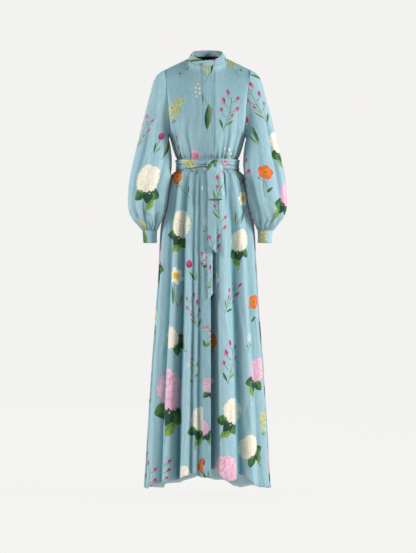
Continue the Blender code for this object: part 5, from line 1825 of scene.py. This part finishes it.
skirt_right = skirt_grid(
    [RIGHT_SEAM, PLACKET_EDGE, FRONT_EDGE],
    [SKIRT_RIGHT_STEPS, SKIRT_PLACKET_STEPS],
    turned_folds(BACK_FOLDS[:-1], -360.0) + RIGHT_FRONT_FOLDS,
    seed=41,
)
skirt_left = skirt_grid(
    [PLACKET_EDGE, FRONT_EDGE, LEFT_SEAM],
    [SKIRT_LAP_STEPS, SKIRT_LEFT_STEPS],
    LEFT_FRONT_FOLDS[:-1] + BACK_FOLDS,
    seed=42,
    lapped=True,
)
skirt_back = skirt_grid(
    [LEFT_SEAM, RIGHT_SEAM_BEHIND],
    [SKIRT_BACK_STEPS],
    LEFT_FRONT_FOLDS[:-1] + BACK_FOLDS[:-1] + turned_folds(RIGHT_FRONT_FOLDS, 360.0),
    seed=43,
)
skirt_panels = {}
for name, grid, stands_for, sewn_to, first_column, start, seed in (
    ("skirt_right_cloth", skirt_right, "skirt_front_right", "front_right_cloth", -1, 7.0, 161),
    ("skirt_left_cloth", skirt_left, "skirt_front_left", "front_left_cloth", 0, 8.0, 162),
    ("skirt_back_cloth", skirt_back, "skirt_back", "back_cloth", SKIRT_BACK_STEPS // 2, 9.0, 163),
):
    normals = facing(grid, grid * np.array([0.0, 0.0, 1.0]))
    plan = cloth_plan(grid, first_column=first_column, start=start)
    skirt_panels[name] = (grid, normals, plan)
    piece = sewn_panel(name, grid, normals, plan, cloth_slots)
    lay_print(piece, plan, seed, each=0.0047)
    hem = inset(grid, normals, ("bottom",), HEM_STITCH_INSET)
    stitches = stitched(name + "_hem_stitches", hem)
    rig.replaces(piece, stands_for)
    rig.slot(piece, "printed_cloth")
    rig.sheet(piece, held="gathered", rests_on=[sewn_to], with_pieces=[stitches], **cut(grid))

# The placket runs on from the upper body's to the hem.
panel = skirt_panels["skirt_right_cloth"]
piece, stitches, skirt_placket = sewn_placket(
    "skirt_placket", panel, SKIRT_PLACKET_STEPS + 1, seed=170, each=0.0047, largest=0.1
)
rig.replaces(piece, "skirt_placket")
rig.slot(piece, "printed_cloth")
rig.sheet(
    piece, held="laid", rests_on=["skirt_right_cloth"], with_pieces=[stitches], **cut(skirt_placket)
)


# The belt: a long strip of the same cloth, folded lengthwise and wound once round the waist.
# It is knotted left of the centre front, with a flat loop and two hanging ends.
BeltRow = namedtuple("BeltRow", "rise reach")
BELT_HALF_WIDTH = 0.1182
BELT_FRONT = 0.0926
BELT_BACK = 0.0910
BELT_MIDDLE_Z = -0.3860
BELT_ROWS = [
    BeltRow(0.0180, 0.0030),
    BeltRow(0.0105, 0.0024),
    BeltRow(0.0030, 0.0006),
    BeltRow(-0.0030, 0.0020),
    BeltRow(-0.0105, 0.0008),
    BeltRow(-0.0180, 0.0026),
]
BeltCrease = namedtuple("BeltCrease", "rise depth width drift turns")
BELT_CREASES = [
    BeltCrease(-0.0030, 0.0044, 0.0017, 0.0022, 1),
    BeltCrease(0.0085, 0.0013, 0.0014, 0.0022, 5),
    BeltCrease(-0.0100, 0.0016, 0.0015, 0.0020, 4),
]
BELT_CREASE_TURN = 900.0
BELT_COLUMNS = 240
BELT_FINER = 8
BELT_LARGEST = 0.085
KNOT_BEARING = 4.0
KNOT_SQUEEZE = 0.62
KNOT_SQUEEZE_RIGHT = 30.0
KNOT_SQUEEZE_LEFT = 12.0
# The loop and the ends hang a clearance in front of whatever stands out most within this reach.
HANG_CLEARANCE = 0.0033
HANG_REACH = 0.0090
END_COLUMNS = 7
END_FINER = 8
END_FINER_ACROSS = 5
# The ends stand off the skirt a little more below this share of their length.
LIFT_START = 0.45
LIFT_WIDTH = 0.55

TailRow = namedtuple("TailRow", "left_x left_z right_x right_z")
UPPER_TAIL = [
    TailRow(0.0090, -0.3992, 0.0410, -0.3992),
    TailRow(0.0070, -0.4080, 0.0450, -0.4080),
    TailRow(0.0050, -0.4250, 0.0480, -0.4250),
    TailRow(0.0035, -0.4500, 0.0500, -0.4500),
    TailRow(0.0010, -0.5000, 0.0530, -0.5000),
    TailRow(0.0000, -0.5450, 0.0530, -0.5450),
    TailRow(0.0005, -0.5900, 0.0520, -0.5950),
    TailRow(0.0020, -0.6400, 0.0495, -0.6570),
    TailRow(0.0040, -0.6900, 0.0455, -0.7330),
]
LOWER_TAIL = [
    TailRow(0.0110, -0.3998, 0.0390, -0.3998),
    TailRow(0.0085, -0.4080, 0.0420, -0.4080),
    TailRow(0.0070, -0.4300, 0.0425, -0.4300),
    TailRow(0.0060, -0.4600, 0.0430, -0.4600),
    TailRow(0.0030, -0.5300, 0.0430, -0.5300),
    TailRow(0.0008, -0.6100, 0.0400, -0.6050),
    TailRow(-0.0003, -0.6900, 0.0355, -0.6800),
    TailRow(-0.0010, -0.7700, 0.0328, -0.7450),
    TailRow(0.0000, -0.8350, 0.0320, -0.8020),
    TailRow(0.0015, -0.8920, 0.0312, -0.8520),
]
LoopRow = namedtuple("LoopRow", "z off middle_x half_width")
LOOP = [
    LoopRow(-0.3752, -0.0004, 0.0245, 0.0235),
    LoopRow(-0.3725, 0.0010, 0.0245, 0.0240),
    LoopRow(-0.3715, 0.0036, 0.0246, 0.0246),
    LoopRow(-0.3740, 0.0054, 0.0250, 0.0256),
    LoopRow(-0.3810, 0.0074, 0.0256, 0.0270),
    LoopRow(-0.3900, 0.0078, 0.0264, 0.0284),
    LoopRow(-0.4040, 0.0078, 0.0275, 0.0300),
    LoopRow(-0.4250, 0.0076, 0.0288, 0.0310),
    LoopRow(-0.4500, 0.0070, 0.0300, 0.0312),
    LoopRow(-0.4800, 0.0074, 0.0312, 0.0308),
    LoopRow(-0.5080, 0.0068, 0.0322, 0.0303),
    LoopRow(-0.5160, 0.0058, 0.0325, 0.0302),
    LoopRow(-0.5190, 0.0038, 0.0326, 0.0301),
    LoopRow(-0.5170, 0.0018, 0.0325, 0.0300),
    LoopRow(-0.5050, 0.0008, 0.0320, 0.0298),
    LoopRow(-0.4700, 0.0004, 0.0305, 0.0285),
    LoopRow(-0.4350, 0.0004, 0.0290, 0.0260),
    LoopRow(-0.4120, 0.0004, 0.0275, 0.0220),
]
LOOP_FINER = 6
LOOP_FRONT = slice(4 * LOOP_FINER, 9 * LOOP_FINER)
# The loop's top corners droop, less and less downwards, and not at all below this height.
LOOP_DOME = 0.0075
LOOP_DOME_POWER = 2.2
LOOP_DOME_Z = -0.405
LOOP_DOME_HEIGHT = 0.028
# Creases fan out over the front of the loop, and run on a little at both ends.
LoopCrease = namedtuple("LoopCrease", "low_x low_z high_x high_z depth width")
LOOP_CREASES = [
    LoopCrease(0.0090, -0.4060, 0.0200, -0.3800, 0.0016, 0.0026),
    LoopCrease(0.0250, -0.4340, 0.0280, -0.3960, 0.0010, 0.0026),
    LoopCrease(0.0470, -0.4200, 0.0350, -0.3830, 0.0016, 0.0028),
]
LOOP_CREASE_ON = 0.3
LOOP_CREASE_FADE = 0.5
LOOP_FRONT_Y = -0.1


def cloth_under(grids):
    """What the belt's ends lie on, ready to be measured from the front."""
    points = []
    faces = []
    for grid in grids:
        rows, columns = grid.shape[:2]
        start = len(points)
        points += [Vector(point) for point in grid.reshape(-1, 3)]
        for row in range(rows - 1):
            for column in range(columns - 1):
                corner = start + row * columns + column
                faces.append([corner, corner + 1, corner + columns + 1, corner + columns])
    return BVHTree.FromPolygons(points, faces)


def hang(x, z, off, under):
    """Points at places in front view, in front of whatever stands out most close by."""
    x, z, off = np.broadcast_arrays(x, z, off)
    points = np.zeros(x.shape + (3,))
    for place in np.ndindex(x.shape):
        nearest = 0.0
        for aside in np.linspace(-HANG_REACH, HANG_REACH, 5):
            for above in (-HANG_REACH, 0.0, HANG_REACH):
                height = min(z[place] + above, BELT_MIDDLE_Z)
                start = Vector((x[place] + aside, -1.0, height))
                hit = under.ray_cast(start, Vector((0.0, 1.0, 0.0)))[0]
                if hit is not None:
                    nearest = min(nearest, hit.y)
        points[place] = (x[place], nearest - HANG_CLEARANCE - off[place], z[place])
    return points


def finer_both_ways(grid, down, across):
    """A grid with smooth rows and columns put in between its own."""
    return finer_rows(finer_rows(grid, down).transpose(1, 0, 2), across).transpose(1, 0, 2)


belt_cloth = cloth_material("belt cloth", face_twill)
belt_slots = [belt_cloth, *cloth_slots[1:]]
bearings = np.arange(BELT_COLUMNS) * 360.0 / BELT_COLUMNS
a = np.radians(bearings)
from_knot = round_gap(bearings, KNOT_BEARING)
reach = np.where(from_knot < 0, KNOT_SQUEEZE_RIGHT, KNOT_SQUEEZE_LEFT)
squeezed = 1 - KNOT_SQUEEZE * bell(from_knot, reach)
rows = []
for belt_row in BELT_ROWS:
    depth = np.where(np.cos(a) > 0, BELT_FRONT, BELT_BACK)
    x = (BELT_HALF_WIDTH + belt_row.reach) * np.sin(a)
    y = -(depth + belt_row.reach) * np.cos(a)
    z = BELT_MIDDLE_Z + belt_row.rise * squeezed
    rows.append(np.stack([x, y, z], axis=-1))
belt_grid = finer_rows(np.array(rows), BELT_FINER)
up = (belt_grid[..., 2] - BELT_MIDDLE_Z) / squeezed
pull = np.zeros_like(up)
for crease in BELT_CREASES:
    middle = crease.rise + crease.drift * np.sin(a * crease.turns + crease.rise * BELT_CREASE_TURN)
    pull -= crease.depth * bell(up - middle, crease.width)
belt_grid += level_out(belt_grid) * pull[..., None]
normals = facing(belt_grid, np.array([0.0, 0.0, BELT_MIDDLE_Z]), closed=True)
plan = cloth_plan(belt_grid, closed=True, start=11.0)
piece = sewn_panel("belt_cloth_band", belt_grid, normals, plan, belt_slots, closed=True)
lay_print(piece, plan, seed=181, each=0.004, largest=BELT_LARGEST)
edges = inset(belt_grid, normals, ("top", "bottom"))
stitches = stitched("belt_stitches", edges, closed=True)
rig.replaces(piece, "belt_band")
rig.slot(piece, "belt_cloth")
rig.sheet(
    piece, held="folded", rests_on=["back_cloth"], with_pieces=[stitches], **cut(belt_grid, closed=True)
)

# The two ends, cut slantwise. The upper one lies on the lower one.
under = [joined_up(belt_grid), skirt_right, skirt_left, skirt_placket]
for name, table, stands_for, lift, start, seed in (
    ("belt_end_lower_cloth", LOWER_TAIL, "belt_tail_lower", 0.002, 17.0, 185),
    ("belt_end_upper_cloth", UPPER_TAIL, "belt_tail_upper", 0.005, 18.0, 186),
):
    across = np.linspace(0, 1, END_COLUMNS)
    left_x, left_z, right_x, right_z = (field(table, part)[:, None] for part in TailRow._fields)
    x = left_x + across * (right_x - left_x)
    z = left_z + across * (right_z - left_z)
    down = np.linspace(0, 1, len(table))[:, None]
    lift = lift * ease((down - LIFT_START) / LIFT_WIDTH)
    grid = finer_both_ways(hang(x, z, lift, cloth_under(under)), END_FINER, END_FINER_ACROSS)
    under.append(grid)
    normals = facing(grid, np.array([0.0, 0.0, -0.6]))
    plan = cloth_plan(grid, start=start)
    piece = sewn_panel(name, grid, normals, plan, belt_slots)
    lay_print(piece, plan, seed, each=0.005, largest=BELT_LARGEST)
    stitches = stitched(name + "_stitches", inset(grid, normals, ("start", "stop", "bottom")))
    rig.replaces(piece, stands_for)
    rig.slot(piece, "belt_cloth")
    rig.sheet(piece, held="hung", rests_on=["belt_wrap_cloth"], with_pieces=[stitches], **cut(grid))

# The loop goes up over the wrap, down in front, and back up behind itself.
across = np.linspace(-1, 1, END_COLUMNS)
z, off, middle_x, half_width = (field(LOOP, part)[:, None] for part in LoopRow._fields)
x = middle_x + across * half_width
z = z - LOOP_DOME * np.abs(across) ** LOOP_DOME_POWER * ease((z - LOOP_DOME_Z) / LOOP_DOME_HEIGHT)
grid = finer_both_ways(hang(x, z, off, cloth_under(under)), LOOP_FINER, END_FINER_ACROSS)
for crease in LOOP_CREASES:
    along = (grid[..., 2] - crease.low_z) / (crease.high_z - crease.low_z)
    along = np.clip(along, -LOOP_CREASE_ON, 1 + LOOP_CREASE_ON)
    aside = grid[..., 0] - crease.low_x - along * (crease.high_x - crease.low_x)
    fades_in = ease((along + LOOP_CREASE_ON) / LOOP_CREASE_FADE)
    fades_out = 1 - ease((along - 0.8) / LOOP_CREASE_FADE)
    fades = fades_in * fades_out * (grid[..., 1] < LOOP_FRONT_Y)
    grid[..., 1] += crease.depth * fades * bell(aside, crease.width)
normals = facing(grid, np.array([0.0, 0.0, -0.45]))
if np.mean(normals[LOOP_FRONT, :, 1]) > 0:
    normals = -normals
plan = cloth_plan(grid, start=18.0)
piece = sewn_panel("belt_loop_cloth", grid, normals, plan, belt_slots)
lay_print(piece, plan, seed=190, each=0.006, largest=BELT_LARGEST)
stitches = stitched("belt_loop_stitches", inset(grid, normals, ("start", "stop")))
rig.replaces(piece, "belt_loop")
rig.slot(piece, "belt_cloth")
size = cut(grid)
size["flat"] = (2 * half_width.max(), size["flat"][1])
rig.sheet(piece, held="folded", rests_on=["belt_wrap_cloth"], with_pieces=[stitches], **size)

# The wrap inside the bow: the belt's cloth pulled tight over itself. It is a ball drawn out
# sideways and squared off, with a crease across its middle.
WRAP_MIDDLE = (0.0250, -0.0996, -0.3890)
WRAP_HALF = (0.0225, 0.0046, 0.0104)
WRAP_ROWS = 31
WRAP_COLUMNS = 64
WRAP_SQUARE_FROM = 0.72
WRAP_SQUARE = 0.45
WRAP_CREASE = 0.16
WRAP_CREASE_WIDTH = 0.25
WRAP_WALL = 0.0008

around = np.arange(WRAP_COLUMNS) * 2 * np.pi / WRAP_COLUMNS
rows = []
for turn in np.linspace(0, np.pi, WRAP_ROWS + 2)[1:-1]:
    x = np.sin(turn) * np.cos(around)
    y = np.cos(turn)
    z = np.sin(turn) * np.sin(around)
    furthest = np.maximum(np.maximum(np.abs(x), np.abs(z)), WRAP_SQUARE_FROM)
    squared = 1.0 / furthest**WRAP_SQUARE
    crease = 1 - WRAP_CREASE * bell(z, WRAP_CREASE_WIDTH)
    px = WRAP_MIDDLE[0] + WRAP_HALF[0] * x * squared
    py = WRAP_MIDDLE[1] * (1 - (px / BELT_HALF_WIDTH) ** 2) ** 0.5 + WRAP_HALF[1] * y * crease
    rows.append(np.stack([px, py, WRAP_MIDDLE[2] + WRAP_HALF[2] * z * squared], axis=-1))
grid = np.array(rows)
normals = facing(grid, np.array(WRAP_MIDDLE), closed=True)
plan = cloth_plan(grid, closed=True, start=19.0)
piece = sewn_panel("belt_wrap_cloth", grid, normals, plan, belt_slots, closed=True, wall=WRAP_WALL)
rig.replaces(piece, "belt_knot")
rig.slot(piece, "belt_cloth")
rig.sheet(piece, held="folded", rests_on=["belt_cloth_band"], **cut(grid, closed=True))


# The room: a plain pale floor that runs off into an even pale backdrop, soft light from large
# lamps in front, and the camera level with the middle of the garment.
BACKDROP = (0.896, 0.888, 0.871, 1.0)
FILL = (0.96, 0.98, 1.0, 1.0)
FILL_STRENGTH = 0.10
FLOOR_REACH = 6.0
FLOOR_Z = -1.640
FLOOR_LOOKS = {
    "Base Color": (0.02, 0.02, 0.02, 1.0),
    "Roughness": 1.0,
    "Specular IOR Level": 0.0,
    "Emission Color": BACKDROP,
    "Emission Strength": 0.985,
}
Lamp = namedtuple("Lamp", "name place aim size power")
LAMPS = [
    Lamp("left", (-4.3, -1.75, 1.2), (0.0, 0.0, -0.75), 1.4, 174.0),
    Lamp("right", (4.3, -1.75, 1.2), (0.0, 0.0, -0.75), 1.4, 256.0),
    Lamp("front", (0.3, -5.0, 1.6), (0.0, 0.0, -0.8), 1.5, 20.0),
    Lamp("behind", (-1.5, 4.6, 0.8), (0.0, 0.0, -0.8), 2.2, 110.0),
]
CAMERA_PLACE = (0.0019, -7.0, -0.804)
CAMERA_LENS = 121.52

scene = bpy.context.scene
scene.view_settings.view_transform = "Standard"
world = bpy.data.worlds.new("studio")
scene.world = world
world.use_nodes = True
tree = world.node_tree
shown = tree.nodes["Background"]
give(tree, shown, {"Color": BACKDROP, "Strength": 1.0})
light_only = add_node(tree, "ShaderNodeBackground", {"Color": FILL, "Strength": FILL_STRENGTH})
path = add_node(tree, "ShaderNodeLightPath").outputs["Is Camera Ray"]
inputs = {0: path, 1: light_only.outputs[0], 2: shown.outputs[0]}
chosen = add_node(tree, "ShaderNodeMixShader", inputs)
give(tree, tree.nodes["World Output"], {"Surface": chosen.outputs[0]})

floor_mesh = bpy.data.meshes.new("floor")
corners = [(-1, -1), (1, -1), (1, 1), (-1, 1)]
corners = [(x * FLOOR_REACH, y * FLOOR_REACH, FLOOR_Z) for x, y in corners]
floor_mesh.from_pydata(corners, [], [(0, 1, 2, 3)])
floor = bpy.data.objects.new("floor", floor_mesh)
scene.collection.objects.link(floor)
material, tree, shader = new_material("pale floor")
give(tree, shader, FLOOR_LOOKS)
floor_mesh.materials.append(material)
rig.stage(floor)

for lamp in LAMPS:
    light = bpy.data.lights.new(lamp.name, "AREA")
    light.shape = "DISK"
    light.size = lamp.size
    light.energy = lamp.power
    made = bpy.data.objects.new(lamp.name, light)
    made.location = lamp.place
    aim = Vector(lamp.aim) - Vector(lamp.place)
    made.rotation_euler = aim.to_track_quat("-Z", "Y").to_euler()
    scene.collection.objects.link(made)

camera_data = bpy.data.cameras.new("camera")
camera_data.lens = CAMERA_LENS
camera = bpy.data.objects.new("camera", camera_data)
camera.location = CAMERA_PLACE
camera.rotation_euler = (np.pi / 2, 0.0, 0.0)
scene.collection.objects.link(camera)
scene.camera = camera

with open("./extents.json", "w") as out:
    shown_box = [list(corner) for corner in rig.bounds()]
    json.dump({"solids": solid_box, "scene": shown_box}, out)
